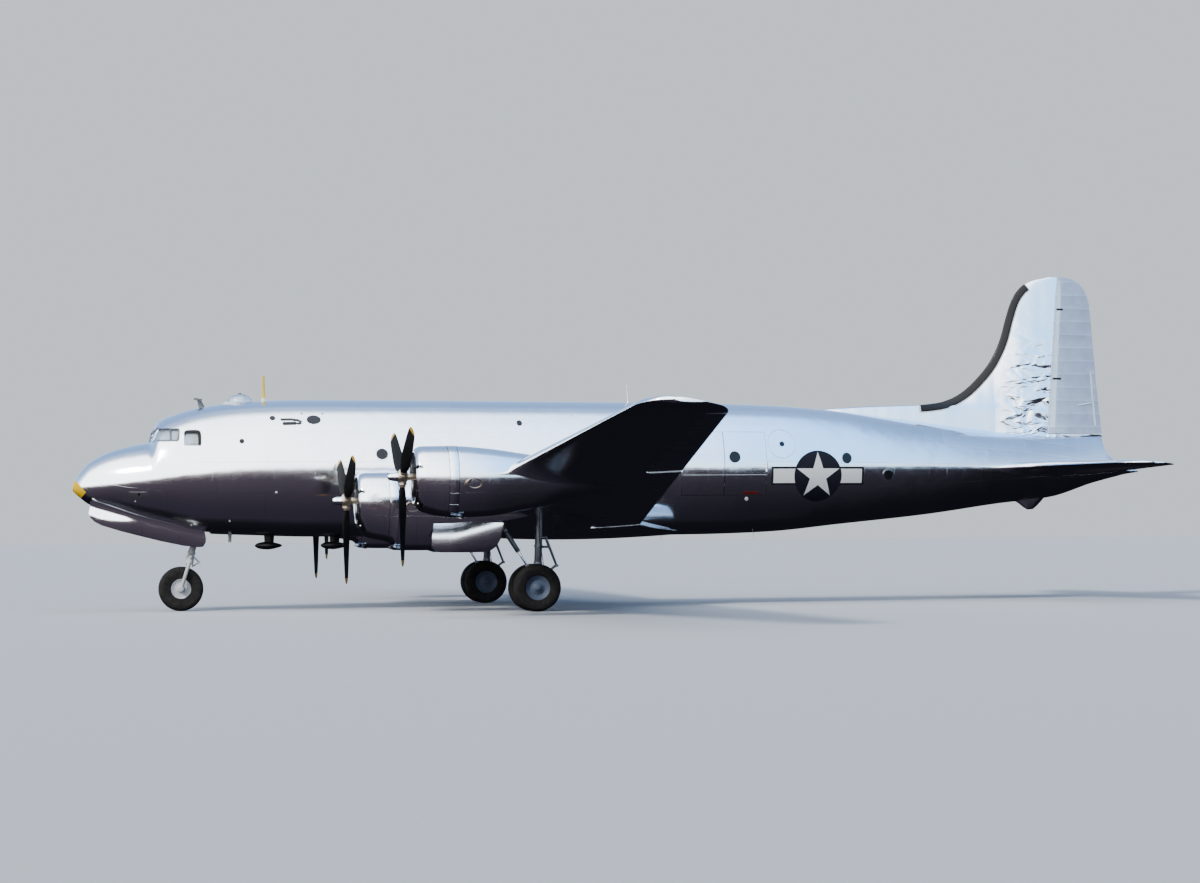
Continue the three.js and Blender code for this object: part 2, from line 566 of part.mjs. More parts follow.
for (const engine of ENGINES) {
  const inner = engine.rows === INNER_NACELLE;
  const lip = engine.prop + LIP_BEHIND_PROP;
  const at = station => v(lip + station, engine.y, engine.z);
  const bay = rod(at(-50), at(150), 530, 625, 20).add(rod(at(149), at(FIREWALL), 625, 625, 20));
  const outer = loft(engine.rows.map(row => nacelleRing(row, engine)));
  const wing = engine.y < 0 ? wingFull : mirrored(wingFull);
  let nacelle = outer.subtract(bay);
  if (inner) {
    nacelle = nacelle.subtract(block(GEAR_WELL.front, GEAR_WELL.rear, engine.y - GEAR_WELL.halfWidth,
      engine.y + GEAR_WELL.halfWidth, 1000, GEAR_WELL.top));
  }
  nacelle = nacelle.subtract(wing).subtract(wing.translate([0, 0, -TOUCH])).subtract(wing.translate([-TOUCH, 0, 0]))
    .subtract(wing.translate([0, 0, TOUCH]));
  const largest = nacelle.decompose().sort((a, b) => b.volume() - a.volume())[0];
  addPiece(`nacelle_${engine.number}`, largest, polished);
  addPiece(`engine_${engine.number}`, engineSolid.translate([engine.prop, engine.y, engine.z]), castGrey);
  addPiece(`propeller_${engine.number}`, propeller.translate([engine.prop, engine.y, engine.z]), blackPaint);
}

// Main gear
// Each leg carries two wheels on one turning axle
const MAIN = { x: 11010, legTopX: 11150, y: 3774, tyre: 575, width: 380, rim: 300, spacing: 360, axle: 50, legTop: 2500 };
// Profiles run along the axle: [distance, radius]
const tyreRows = (radius, width, rim) => [
  [-width * 0.36, rim + TOUCH], [-width / 2, radius * 0.78], [-width * 0.44, radius * 0.92], [-width * 0.25, radius],
  [width * 0.25, radius], [width * 0.44, radius * 0.92], [width / 2, radius * 0.78], [width * 0.36, rim + TOUCH],
  [-width * 0.36, rim + TOUCH]
];
const hubRows = (rim, width) => [
  [-width / 2, 0], [-width / 2, rim * 0.45], [-width * 0.28, rim * 0.62], [-width * 0.36, rim], [width * 0.36, rim],
  [width * 0.28, rim * 0.62], [width / 2, rim * 0.45], [width / 2, 0]
];
const DOOR = { thick: 24 };
const plate = (outline, y) => {
  const shape = new THREE.Shape(outline.map(([x, z]) => new THREE.Vector2(x, z)));
  const geometry = new THREE.ExtrudeGeometry(shape, { depth: DOOR.thick, bevelEnabled: false });
  geometry.rotateX(Math.PI / 2);
  geometry.translate(0, y + DOOR.thick / 2, 0);
  return solidOf(geometry);
};
// Outline of a main gear door in side view: station, height
const MAIN_DOOR = [[8470, 2190], [8420, 1560], [8560, 1450], [9820, 1450], [10080, 1760], [10140, 2150]];

for (const [side, sign] of SIDES) {
  const y = sign * MAIN.y;
  const axle = v(MAIN.x, y, MAIN.tyre);
  const knee = v(11105, y, 1130);
  const top = v(MAIN.legTopX, y, MAIN.legTop);
  const sleeve = rod(v(axle.x, y - 120, axle.z), v(axle.x, y + 120, axle.z), 95, 95, 12);
  const bracket = joined([-1, 1].map(s => rod(v(11300, y + s * 70, 1790), v(11570, y + s * 20, 1090), 30, 30, 8)));
  const leg = joined([
    rod(knee, top, 95, 95, 10), rod(axle, knee, 68, 68, 10), sleeve, bracket,
    rod(v(11105, y, 1560), v(11400, y, 1560), 34, 34, 7),
    rod(v(11570, y, 1120), v(11060, y, 720), 38, 38, 7),
    rod(v(10022, y, 2380), v(10862, y, 1071), 47, 47, 8),
    rod(v(10838, y, 1103), v(11080, y, 900), 41, 41, 7),
    rod(v(10290, y - 260, 2400), v(10290, y, 1962), 38, 38, 6),
    rod(v(10290, y + 260, 2400), v(10290, y, 1962), 38, 38, 6)
  ]).subtract(rod(v(axle.x, y - 200, axle.z), v(axle.x, y + 200, axle.z), MAIN.axle + 1.4, MAIN.axle + 1.4, 20));
  const wing = sign < 0 ? wingFull : mirrored(wingFull);
  addPiece(`main_leg_${side}`, leg.subtract(wing.translate([0, 0, -TOUCH])).subtract(wing), legPaint);
  const hubs = [-1, 1].map(s => wheelShape(axle.x, y + s * MAIN.spacing, axle.z, hubRows(MAIN.rim, MAIN.width * 0.8)));
  const shaft = rod(v(axle.x, y - MAIN.spacing, axle.z), v(axle.x, y + MAIN.spacing, axle.z), MAIN.axle, MAIN.axle, 12);
  addPiece(`main_hub_${side}`, joined([...hubs, shaft]), hubPaint);
  for (const [place, s] of [['inner', -sign], ['outer', sign]]) {
    const tyre = wheelShape(axle.x, y + s * MAIN.spacing, axle.z, tyreRows(MAIN.tyre, MAIN.width, MAIN.rim));
    addPiece(`main_tyre_${side}_${place}`, tyre, tyreRubber);
    addPiece(`main_door_${side}_${place}`, plate(MAIN_DOOR, y + s * (GEAR_WELL.halfWidth - TOUCH - DOOR.thick / 2)), polished);
  }
}

// Nose gear
// The fork turns about the leaning leg
const NOSE = { x: 2672, tyre: 560, width: 340, rim: 250, axle: 42, lean: rad(14), axisX: 2712 };
const onNoseLeg = (z, y = 0) => v(NOSE.axisX + (z - NOSE.tyre) * Math.tan(NOSE.lean), y, z);
const noseDrag = v(1900, 0, 2500);
addPiece('nose_leg', joined([
  rod(onNoseLeg(1420), onNoseLeg(2620), 85, 85, 12),
  rod(v(2358, 0, 2133), noseDrag, 43, 43, 8),
  rod(onNoseLeg(1650), v(2322, 0, 2166), 36, 36, 8),
  rod(v(noseDrag.x, -WELL.halfWidth + TOUCH, noseDrag.z), v(noseDrag.x, WELL.halfWidth - TOUCH, noseDrag.z), 55, 55, 8),
  rod(onNoseLeg(2600, -WELL.halfWidth + TOUCH), onNoseLeg(2600, WELL.halfWidth - TOUCH), 60, 60, 8)
]).subtract(rod(onNoseLeg(1400), onNoseLeg(1570), 51, 51, 20)), legPaint);
const FORK_ARM_Y = 235;
const axleRod = rod(v(NOSE.x, -FORK_ARM_Y - 40, NOSE.tyre), v(NOSE.x, FORK_ARM_Y + 40, NOSE.tyre), NOSE.axle, NOSE.axle, 12);
addPiece('nose_fork', joined([
  rod(onNoseLeg(1180), onNoseLeg(1420 - 6), 110, 95, 12),
  rod(onNoseLeg(1300), onNoseLeg(1560), 50, 50, 12),
  rod(onNoseLeg(1230, -FORK_ARM_Y - 30), onNoseLeg(1230, FORK_ARM_Y + 30), 62, 62, 10),
  ...[-1, 1].map(s => rod(onNoseLeg(1230, s * FORK_ARM_Y), v(NOSE.x, s * FORK_ARM_Y, NOSE.tyre), 50, 44, 10)),
  axleRod
]), legPaint);
const noseHub = wheelShape(NOSE.x, 0, NOSE.tyre, hubRows(NOSE.rim, NOSE.width * 0.9))
  .subtract(rod(v(NOSE.x, -300, NOSE.tyre), v(NOSE.x, 300, NOSE.tyre), NOSE.axle + 1, NOSE.axle + 1, 20));
addPiece('nose_hub', noseHub, hubPaint);
addPiece('nose_tyre', wheelShape(NOSE.x, 0, NOSE.tyre, tyreRows(NOSE.tyre, NOSE.width, NOSE.rim)), tyreRubber);

// Outline of a nose gear door in side view: station, height
const NOSE_DOOR = [
  [500, 2800], [390, 2460], [500, 2300], [720, 2170], [1650, 1900], [2760, 1640], [3210, 1615], [3280, 1780], [3240, 2100],
  [1900, 2500]
];
for (const [side, sign] of SIDES) {
  const door = plate(NOSE_DOOR, sign * (WELL.halfWidth + 60)).subtract(bodyClear);
  const lowest = door.decompose().sort((a, b) => b.volume() - a.volume())[0];
  addPiece(`nose_door_${side}`, lowest, polished);
}

// Aerials: two loop housings on pylons under the body, and a mast on top
for (const [name, x, z] of [['loop_housing_front', 4867, 1628], ['loop_housing_rear', 6530, 1622]]) {
  const pod = new THREE.SphereGeometry(1, 12, 8);
  pod.scale(345, 110, 105);
  pod.translate(x, 0, z);
  addPiece(name, solidOf(pod).add(block(x - 110, x + 110, -28, 28, z, 2000)).subtract(bodyClear), blackPaint);
}
addPiece('aerial_mast', loft([[5200, 46, 24], [5940, 26, 12]].map(([z, long, wide]) => Array.from({ length: 8 }, (_, i) => {
  const angle = (i / 8) * 2 * Math.PI;
  return v(4740 + long * Math.cos(angle), wide * Math.sin(angle), z);
}))).subtract(bodyClear), paint(0xd9a32a, 0.5));

export default plane;
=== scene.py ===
"""Looks of a four-engine military transport plane of the 1940s in polished bare metal.

Metres, +Z up, ground at Z = 0, nose towards -X, port wing towards -Y. Lengthwise
places are stations from the nose tip, as in the part's source.
"""
import math
from bisect import bisect_right

import bmesh
import bpy
from mathutils import Matrix, Vector


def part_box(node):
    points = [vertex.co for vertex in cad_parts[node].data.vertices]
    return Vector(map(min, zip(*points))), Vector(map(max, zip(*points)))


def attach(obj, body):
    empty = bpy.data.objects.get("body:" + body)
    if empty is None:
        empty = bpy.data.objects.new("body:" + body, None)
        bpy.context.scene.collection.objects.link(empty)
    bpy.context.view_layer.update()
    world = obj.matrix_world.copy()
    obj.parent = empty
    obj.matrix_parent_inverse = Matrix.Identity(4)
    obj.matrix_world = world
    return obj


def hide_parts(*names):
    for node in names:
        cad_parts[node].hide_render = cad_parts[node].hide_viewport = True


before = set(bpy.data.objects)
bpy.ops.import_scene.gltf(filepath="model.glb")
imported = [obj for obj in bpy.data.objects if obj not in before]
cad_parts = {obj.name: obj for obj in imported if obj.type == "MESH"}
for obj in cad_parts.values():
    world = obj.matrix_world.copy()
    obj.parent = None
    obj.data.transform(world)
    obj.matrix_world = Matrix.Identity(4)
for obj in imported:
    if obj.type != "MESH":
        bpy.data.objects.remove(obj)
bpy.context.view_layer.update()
scene = bpy.context.scene
radians = math.radians
NOSE_TIP = -14.3

# ---------------------------------------------------------------- Stage
# The camera stands at eye height 62 m off the port side with a long lens. The
# floor is plain and pale. The light is an even pale sky over darker ground, as on
# an open airfield, and one large soft lamp high on the nose side.
CAMERA = {"place": (-14.18, -61.813, 1.944), "heading": -12.207, "tilt": 92.111, "roll": -0.426,
          "lens": 72.55, "sensor": 36, "reach": 3000}
SUN = {"strength": 2.6, "softness": 9, "towards": (0.62, 0.48, -0.62)}
FLOOR_RADIUS = 420
lens = bpy.data.cameras.new("camera")
lens.sensor_width = CAMERA["sensor"]
lens.lens = CAMERA["lens"]
lens.clip_end = CAMERA["reach"]
camera = bpy.data.objects.new("camera", lens)
camera.matrix_world = (
    Matrix.Translation(CAMERA["place"])
    @ Matrix.Rotation(radians(CAMERA["heading"]), 4, "Z")
    @ Matrix.Rotation(radians(CAMERA["tilt"]), 4, "X")
    @ Matrix.Rotation(radians(CAMERA["roll"]), 4, "Z")
)
scene.collection.objects.link(camera)
scene.camera = camera


def add_node(tree, kind, inputs=(), **settings):
    """A node with its settings and with each named input set or linked"""
    node = tree.nodes.new(kind)
    for name, value in settings.items():
        setattr(node, name, value)
    for name, value in dict(inputs).items():
        if isinstance(value, bpy.types.NodeSocket):
            tree.links.new(value, node.inputs[name])
        else:
            node.inputs[name].default_value = value
    return node


def fresh_material(name):
    """A new material, its node tree and its main shader"""
    material = bpy.data.materials.new(name)
    material.use_nodes = True
    tree = material.node_tree
    return material, tree, tree.nodes["Principled BSDF"]


def ramp_of(tree, factor, stops):
    """A colour ramp from (place, colour) stops"""
    ramp = add_node(tree, "ShaderNodeValToRGB", {"Fac": factor})
    elements = ramp.color_ramp.elements
    while len(elements) < len(stops):
        elements.new(0.5)
    for element, (place, colour) in zip(elements, stops):
        element.position = place
        element.color = (*colour, 1)
    return ramp.outputs["Color"]


def math_of(tree, operation, *values, clamp=False):
    """One arithmetic step in a material"""
    return add_node(tree, "ShaderNodeMath", dict(enumerate(values)), operation=operation,
                    use_clamp=clamp).outputs[0]


def grey_stops(*stops):
    """Stops of a grey ramp from (place, strength) pairs"""
    return [(place, (value, value, value)) for place, value in stops]


# Round the object: dark ground and blue sky on the far side, a paler blue sky aft on
# the near side, and a bright haze towards the nose, where the sun stands.
# Height share from straight down (0) over the skyline (0.5) to straight up (1), colour
FAR_SIDE = [
    (0.0, (0.006, 0.006, 0.009)), (0.40, (0.007, 0.007, 0.011)), (0.485, (0.022, 0.018, 0.022)),
    (0.4985, (0.14, 0.10, 0.08)), (0.5015, (1.10, 1.55, 2.20)), (0.58, (0.66, 1.05, 1.75)),
    (0.72, (0.42, 0.70, 1.25)), (1.0, (0.30, 0.52, 1.00)),
]
AFT_SIDE = [
    (0.0, (0.010, 0.010, 0.015)), (0.40, (0.034, 0.031, 0.046)), (0.485, (0.055, 0.050, 0.065)),
    (0.4985, (0.20, 0.16, 0.15)), (0.5015, (1.8, 2.4, 3.0)), (0.58, (1.0, 2.0, 3.4)), (0.95, (0.9, 2.0, 4.0)),
    (1.0, (0.6, 1.3, 2.6)),
]
NOSE_SIDE = [
    (0.0, (0.030, 0.026, 0.042)), (0.40, (0.085, 0.068, 0.095)), (0.485, (0.22, 0.17, 0.17)),
    (0.4985, (0.60, 0.46, 0.34)), (0.5015, (5.0, 5.2, 5.4)), (0.70, (5.0, 5.2, 5.4)), (0.97, (4.6, 4.9, 5.2)),
    (1.0, (4.0, 4.4, 5.0)),
]
world = bpy.data.worlds.new("pale_sky")
scene.world = world
world.use_nodes = True
air = world.node_tree
air.nodes.clear()
direction = add_node(air, "ShaderNodeTexCoord").outputs["Generated"]
slant = add_node(air, "ShaderNodeSeparateXYZ", {0: direction}).outputs
place = math_of(air, "MULTIPLY_ADD", slant["Z"], 0.5, 0.5)
noseward = ramp_of(air, math_of(air, "MULTIPLY_ADD", slant["X"], 0.5, 0.5),
                   grey_stops((0.53, 1), (0.575, 0.62), (0.62, 0.22), (0.66, 0.05), (0.70, 0)))
past_tail = math_of(air, "MAXIMUM", math_of(air, "SUBTRACT", slant["X"], 0.38), 0.0)
away = math_of(air, "MULTIPLY_ADD", past_tail, 5.0, slant["Y"])
farward = ramp_of(air, math_of(air, "MULTIPLY_ADD", away, 0.5, 0.5),
                  grey_stops((0.54, 0), (0.64, 0.88), (0.80, 1)))
near_side = add_node(air, "ShaderNodeMix", {0: noseward, 6: ramp_of(air, place, AFT_SIDE),
                                            7: ramp_of(air, place, NOSE_SIDE)}, data_type="RGBA").outputs[2]
sky_colour = add_node(air, "ShaderNodeMix", {0: farward, 6: near_side, 7: ramp_of(air, place, FAR_SIDE)},
                      data_type="RGBA").outputs[2]
ray = add_node(air, "ShaderNodeLightPath").outputs
dimmer = math_of(air, "MULTIPLY_ADD", ray["Is Glossy Ray"], 0.76, 0.24)
sky_colour = add_node(air, "ShaderNodeVectorMath", {0: sky_colour, "Scale": dimmer},
                      operation="SCALE").outputs[0]
backdrop = add_node(air, "ShaderNodeMix", {0: ray["Is Camera Ray"], 6: sky_colour, 7: (0.80, 0.86, 0.92, 1)},
                    data_type="RGBA")
glow = add_node(air, "ShaderNodeBackground", {"Color": backdrop.outputs[2], "Strength": 1.0})
add_node(air, "ShaderNodeOutputWorld", {"Surface": glow.outputs[0]})

lamp = bpy.data.lights.new("soft_lamp", "SUN")
lamp.energy = SUN["strength"]
lamp.angle = radians(SUN["softness"])
lamp_object = bpy.data.objects.new("soft_lamp", lamp)
lamp_object.rotation_euler = Vector(SUN["towards"]).to_track_quat("-Z", "Y").to_euler()
scene.collection.objects.link(lamp_object)

floor_shape = bmesh.new()
bmesh.ops.create_circle(floor_shape, cap_ends=True, segments=96, radius=FLOOR_RADIUS)
floor_mesh = bpy.data.meshes.new("floor")
floor_shape.to_mesh(floor_mesh)
floor_shape.free()
floor = bpy.data.objects.new("floor", floor_mesh)
scene.collection.objects.link(floor)
floor.visible_glossy = False
floor.visible_diffuse = False
pale, _, surface = fresh_material("pale_floor")
surface.inputs["Base Color"].default_value = (0.62, 0.63, 0.65, 1)
surface.inputs["Roughness"].default_value = 0.9
floor_mesh.materials.append(pale)

# ---------------------------------------------------------------- Fuselage
# A round tube of thin polished aluminium sheet, riveted to frames and stringers.
# It is built as a nose, a straight middle, an aft part with the cargo doorway,
# and a tapering tail that ends in a cone.
# station, half width, bottom, top, height of the widest line
BODY = [
    (0.025, 0.105, 3.015, 3.195, 3.105), (0.15, 0.30, 2.895, 3.44, 3.115), (0.42, 0.56, 2.69, 3.732, 3.14),
    (0.92, 0.88, 2.565, 4.002, 3.18), (1.56, 1.16, 2.352, 4.181, 3.25), (1.86, 1.265, 2.268, 4.24, 3.29),
    (2.10, 1.335, 2.212, 4.745, 3.32), (2.48, 1.425, 2.105, 4.925, 3.37), (3.18, 1.53, 1.95, 5.13, 3.45),
    (4.40, 1.585, 1.895, 5.285, 3.54), (5.90, 1.59, 1.845, 5.33, 3.56), (14.5, 1.59, 1.82, 5.30, 3.56),
    (16.2, 1.58, 1.83, 5.285, 3.565), (18.0, 1.52, 1.885, 5.235, 3.575), (20.0, 1.36, 2.075, 5.085, 3.59),
    (22.4, 1.085, 2.315, 4.80, 3.60), (24.5, 0.79, 2.60, 4.56, 3.60), (26.0, 0.52, 2.77, 4.462, 3.59),
    (27.25, 0.285, 3.15, 4.425, 3.575), (27.54, 0.235, 3.225, 4.40, 3.565), (27.61, 0.222, 3.243, 4.11, 3.56),
    (27.74, 0.198, 3.275, 3.925, 3.55), (27.92, 0.16, 3.318, 3.765, 3.53), (28.2, 0.095, 3.385, 3.62, 3.49),
    (28.6, 0.025, 3.445, 3.495, 3.47),
]
BODY_POINTS = 96
BODY_WALL = 0.02


def at_place(rows, x):
    """Every other column of a table at place x, on a smooth curve that never overshoots"""
    i = min(max(bisect_right([row[0] for row in rows], x) - 1, 0), len(rows) - 2)

    def rise(k, column):
        return (rows[k + 1][column] - rows[k][column]) / (rows[k + 1][0] - rows[k][0])

    def slope(k, column):
        if k in (0, len(rows) - 1):
            return rise(min(k, len(rows) - 2), column)
        a, b = rise(k - 1, column), rise(k, column)
        return 0.0 if a * b <= 0 else 2 * a * b / (a + b)

    width = rows[i + 1][0] - rows[i][0]
    t = min(max((x - rows[i][0]) / width, 0), 1)
    return [
        (2 * t**3 - 3 * t**2 + 1) * rows[i][c] + (t**3 - 2 * t**2 + t) * width * slope(i, c)
        + (3 * t**2 - 2 * t**3) * rows[i + 1][c] + (t**3 - t**2) * width * slope(i + 1, c)
        for c in range(1, len(rows[0]))
    ]


def at(station, y, z):
    """A point from its station, its place to starboard and its height"""
    return Vector((NOSE_TIP + station, y, z))


def angles_round(count):
    """Even angles round a full turn"""
    return [2 * math.pi * i / count for i in range(count)]


def oval_ring(station, y, z, half_width, below, above, points=64):
    """Points round a cross-section: a half oval above its widest line and another below"""
    return [at(station, y + half_width * math.cos(a), z + (above if math.sin(a) > 0 else below) * math.sin(a))
            for a in angles_round(points)]


def body_ring(station, inset=0.0):
    """Points around the fuselage at one station"""
    half_width, bottom, top, widest = at_place(BODY, station)
    return oval_ring(station, 0, widest, half_width - inset, widest - bottom - inset, top - widest - inset,
                     BODY_POINTS)


def body_side(station, z):
    """Half width of the fuselage at a station and a height"""
    half_width, bottom, top, widest = at_place(BODY, station)
    reach = top - widest if z > widest else widest - bottom
    return half_width * math.sqrt(max(0.0, 1 - ((z - widest) / reach) ** 2))


def skin_over(rings, ends=True):
    """A skin over rings of equal point count, bridged in order and closed at its ends"""
    bm = bmesh.new()
    loops = []
    for ring in rings:
        made = bmesh.ops.create_circle(bm, cap_ends=False, segments=len(ring), radius=1)
        for vert, point in zip(made["verts"], ring):
            vert.co = point
        loops.append({edge for vert in made["verts"] for edge in vert.link_edges})
    for one, other in zip(loops, loops[1:]):
        bmesh.ops.bridge_loops(bm, edges=list(one | other))
    if ends:
        bmesh.ops.holes_fill(bm, edges=list(loops[0] | loops[-1]), sides=0)
    bmesh.ops.recalc_face_normals(bm, faces=bm.faces)
    return bm


def spread(start, end, step):
    """Even places from start to end, about a step apart"""
    count = max(1, round(abs(end - start) / step))
    return [start + (end - start) * i / count for i in range(count + 1)]


def smooth(mesh, sharp=32):
    """Smooth shading, with edges sharper than an angle left crisp"""
    for face in mesh.polygons:
        face.use_smooth = True
    mesh.set_sharp_from_angle(angle=radians(sharp))


def make_piece(name, bm, material, body="airframe", slot="polished_metal", nodes=(), sharp=32):
    """A finished shape as a piece that rides on a body and stands for its nodes"""
    mesh = bpy.data.meshes.new(name)
    bm.to_mesh(mesh)
    rims = [k for k, edge in enumerate(bm.edges) if edge.is_boundary]
    bm.free()
    smooth(mesh, sharp)
    for k in rims:
        mesh.edges[k].use_edge_sharp = True
    mesh.materials.append(material)
    piece = bpy.data.objects.new(name, mesh)
    scene.collection.objects.link(piece)
    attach(piece, body)
    if nodes:
        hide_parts(*nodes)
    return piece


def give_wall(piece, thickness, offset=-1):
    """The thickness of a sheet, inwards from its face (-1) or half to each side (0)"""
    wall = piece.modifiers.new("wall", "SOLIDIFY")
    wall.thickness = thickness
    wall.offset = offset


def turn_to_side(bm, side):
    """The faces of an open sheet turned to port (-1) or to starboard (1)"""
    if sum(face.calc_area() * face.normal.y for face in bm.faces) * side < 0:
        bmesh.ops.reverse_faces(bm, faces=bm.faces)


def cut(piece, bm, operation="DIFFERENCE"):
    """The piece with a shape cut away from it, or kept only inside that shape"""
    mesh = bpy.data.meshes.new("cutter")
    bm.to_mesh(mesh)
    bm.free()
    cutter = bpy.data.objects.new("cutter", mesh)
    scene.collection.objects.link(cutter)
    knife = piece.modifiers.new("cut", "BOOLEAN")
    knife.operation = operation
    knife.solver = "EXACT"
    knife.object = cutter
    bpy.context.view_layer.update()
    made = bpy.data.meshes.new_from_object(piece.evaluated_get(bpy.context.evaluated_depsgraph_get()))
    piece.modifiers.clear()
    piece.data = made
    made.name = piece.name
    bpy.data.objects.remove(cutter)
    smooth(made)


def brick(low, high):
    """A plain block between two corners, for cutting with"""
    bm = bmesh.new()
    bmesh.ops.create_cube(bm, size=1)
    low, high = Vector(low), Vector(high)
    bmesh.ops.scale(bm, vec=high - low, verts=bm.verts)
    bmesh.ops.translate(bm, vec=(low + high) / 2, verts=bm.verts)
    return bm


def coordinates_of(tree, around=None):
    """Lengthwise and sideways places on a skin, in metres; around a line where it is a tube"""
    spot = add_node(tree, "ShaderNodeSeparateXYZ",
                    {0: add_node(tree, "ShaderNodeTexCoord").outputs["Object"]})
    x, y, z = spot.outputs
    if around is None:
        return x, y
    line_y, line_z, radius = around
    turn = math_of(tree, "ARCTAN2", math_of(tree, "SUBTRACT", y, line_y),
                   math_of(tree, "SUBTRACT", z, line_z))
    return x, math_of(tree, "MULTIPLY", turn, radius)


def dots_along(tree, across, along, line_gap, pitch, size):
    """Rows of rivets: one row every line_gap, with a rivet every pitch"""
    def off(value, gap):
        share = math_of(tree, "FRACT", math_of(tree, "DIVIDE", value, gap))
        return math_of(tree, "MULTIPLY", math_of(tree, "SUBTRACT", share, 0.5), gap)

    a, b = off(across, line_gap), off(along, pitch)
    distance = math_of(tree, "SQRT", math_of(tree, "ADD", math_of(tree, "MULTIPLY", a, a),
                                             math_of(tree, "MULTIPLY", b, b)))
    return math_of(tree, "SUBTRACT", 1.0, math_of(tree, "DIVIDE", distance, size), clamp=True)


def noise_of(tree, spot, scale, detail, roughness=0.5, **more):
    """Cloudy noise at a place"""
    inputs = {"Vector": spot, "Scale": scale, "Detail": detail, "Roughness": roughness, **more}
    return add_node(tree, "ShaderNodeTexNoise", inputs).outputs["Fac"]


def add_relief(tree, shader, distance, height):
    """Fine relief in a surface, from a height"""
    bump = add_node(tree, "ShaderNodeBump", {"Strength": 1.0, "Distance": distance, "Height": height})
    tree.links.new(bump.outputs[0], shader.inputs["Normal"])


def polished_sheet(name, around=None, panel=(2.4, 0.8), frames=0.508, wave=1.0, tint=(0.86, 0.87, 0.885),
                   rough=0.09):
    """Bare polished aluminium in riveted panels, faintly rippled between its frames"""
    material, tree, shader = fresh_material(name)
    x, girth = coordinates_of(tree, around)
    flat = add_node(tree, "ShaderNodeCombineXYZ", {0: x, 1: girth}).outputs[0]
    panels = add_node(tree, "ShaderNodeTexBrick", {
        "Vector": flat, "Scale": 1.0, "Brick Width": panel[0], "Row Height": panel[1],
        "Mortar Size": 0.0035, "Mortar Smooth": 0.2, "Bias": 0.0,
        "Color1": (0.3, 0.3, 0.3, 1), "Color2": (1, 1, 1, 1), "Mortar": (0, 0, 0, 1),
    })
    lap = panels.outputs["Fac"]
    own = add_node(tree, "ShaderNodeSeparateColor", {0: panels.outputs["Color"]}).outputs[0]
    spot = add_node(tree, "ShaderNodeTexCoord").outputs["Object"]
    cloud = noise_of(tree, spot, 0.8, 3.0, 0.55)
    grain = noise_of(tree, spot, 14.0, 6.0, 0.6)
    rivets = math_of(tree, "MAXIMUM", dots_along(tree, x, girth, frames, 0.034, 0.006),
                     dots_along(tree, girth, x, panel[1] / 2, 0.034, 0.006))
    shade = math_of(tree, "ADD", math_of(tree, "MULTIPLY", own, 0.06), math_of(tree, "MULTIPLY", grain, 0.10))
    shade = math_of(tree, "SUBTRACT", shade, math_of(tree, "MULTIPLY", lap, 0.35))
    bright = tuple(min(1, c * 1.06) for c in tint)
    dark = tuple(c * 0.78 for c in tint)
    shader_colour = ramp_of(tree, math_of(tree, "MULTIPLY_ADD", shade, 3.0, 0.3, clamp=True),
                            [(0, dark), (0.5, tint), (1, bright)])
    tree.links.new(shader_colour, shader.inputs["Base Color"])
    shader.inputs["Metallic"].default_value = 1.0
    dull = math_of(tree, "MULTIPLY_ADD", math_of(tree, "MULTIPLY", grain, cloud), 0.22, rough - 0.03)
    dull = math_of(tree, "ADD", dull, math_of(tree, "MULTIPLY", lap, 0.1))
    dull = math_of(tree, "MULTIPLY_ADD", own, 0.05, dull)
    tree.links.new(dull, shader.inputs["Roughness"])
    quilt = math_of(tree, "MULTIPLY", math_of(tree, "SINE",
                                              math_of(tree, "MULTIPLY", x, 2 * math.pi / frames)),
                    math_of(tree, "SINE", math_of(tree, "MULTIPLY", girth, 4 * math.pi / panel[1])))
    ripple = noise_of(tree, spot, 1.7, 1.5, 0.4)
    level = math_of(tree, "MULTIPLY_ADD", ripple, 2.2 * wave, math_of(tree, "MULTIPLY", quilt, 0.12 * wave))
    level = math_of(tree, "SUBTRACT", level, math_of(tree, "MULTIPLY", lap, 0.3))
    level = math_of(tree, "ADD", level, math_of(tree, "MULTIPLY", rivets, 0.35))
    add_relief(tree, shader, 0.0022, level)
    return material


body_metal = polished_sheet("fuselage_polished_sheet", around=(0.0, 3.56, 1.62))
# name, first and last station, spacing of the rings
BODY_PARTS = [
    ("fuselage_nose", 0.025, 3.80, 0.045), ("fuselage_center", 3.80, 13.70, 0.33),
    ("fuselage_aft", 13.70, 19.60, 0.2), ("fuselage_tail", 19.60, 28.60, 0.06),
]
body_parts = {}
for name, first, last, step in BODY_PARTS:
    bm = skin_over([body_ring(x) for x in spread(first, last, step)], ends=False)
    if name == "fuselage_nose":
        bmesh.ops.holes_fill(bm, edges=[e for e in bm.edges if e.is_boundary
                                        and e.verts[0].co.x < NOSE_TIP + 0.1], sides=0)
    if name == "fuselage_tail":
        bmesh.ops.holes_fill(bm, edges=[e for e in bm.edges if e.is_boundary
                                        and e.verts[0].co.x > NOSE_TIP + 28.5], sides=0)
    bmesh.ops.recalc_face_normals(bm, faces=bm.faces)
    part = make_piece(name, bm, body_metal, nodes=[name])
    give_wall(part, BODY_WALL)
    body_parts[name] = part

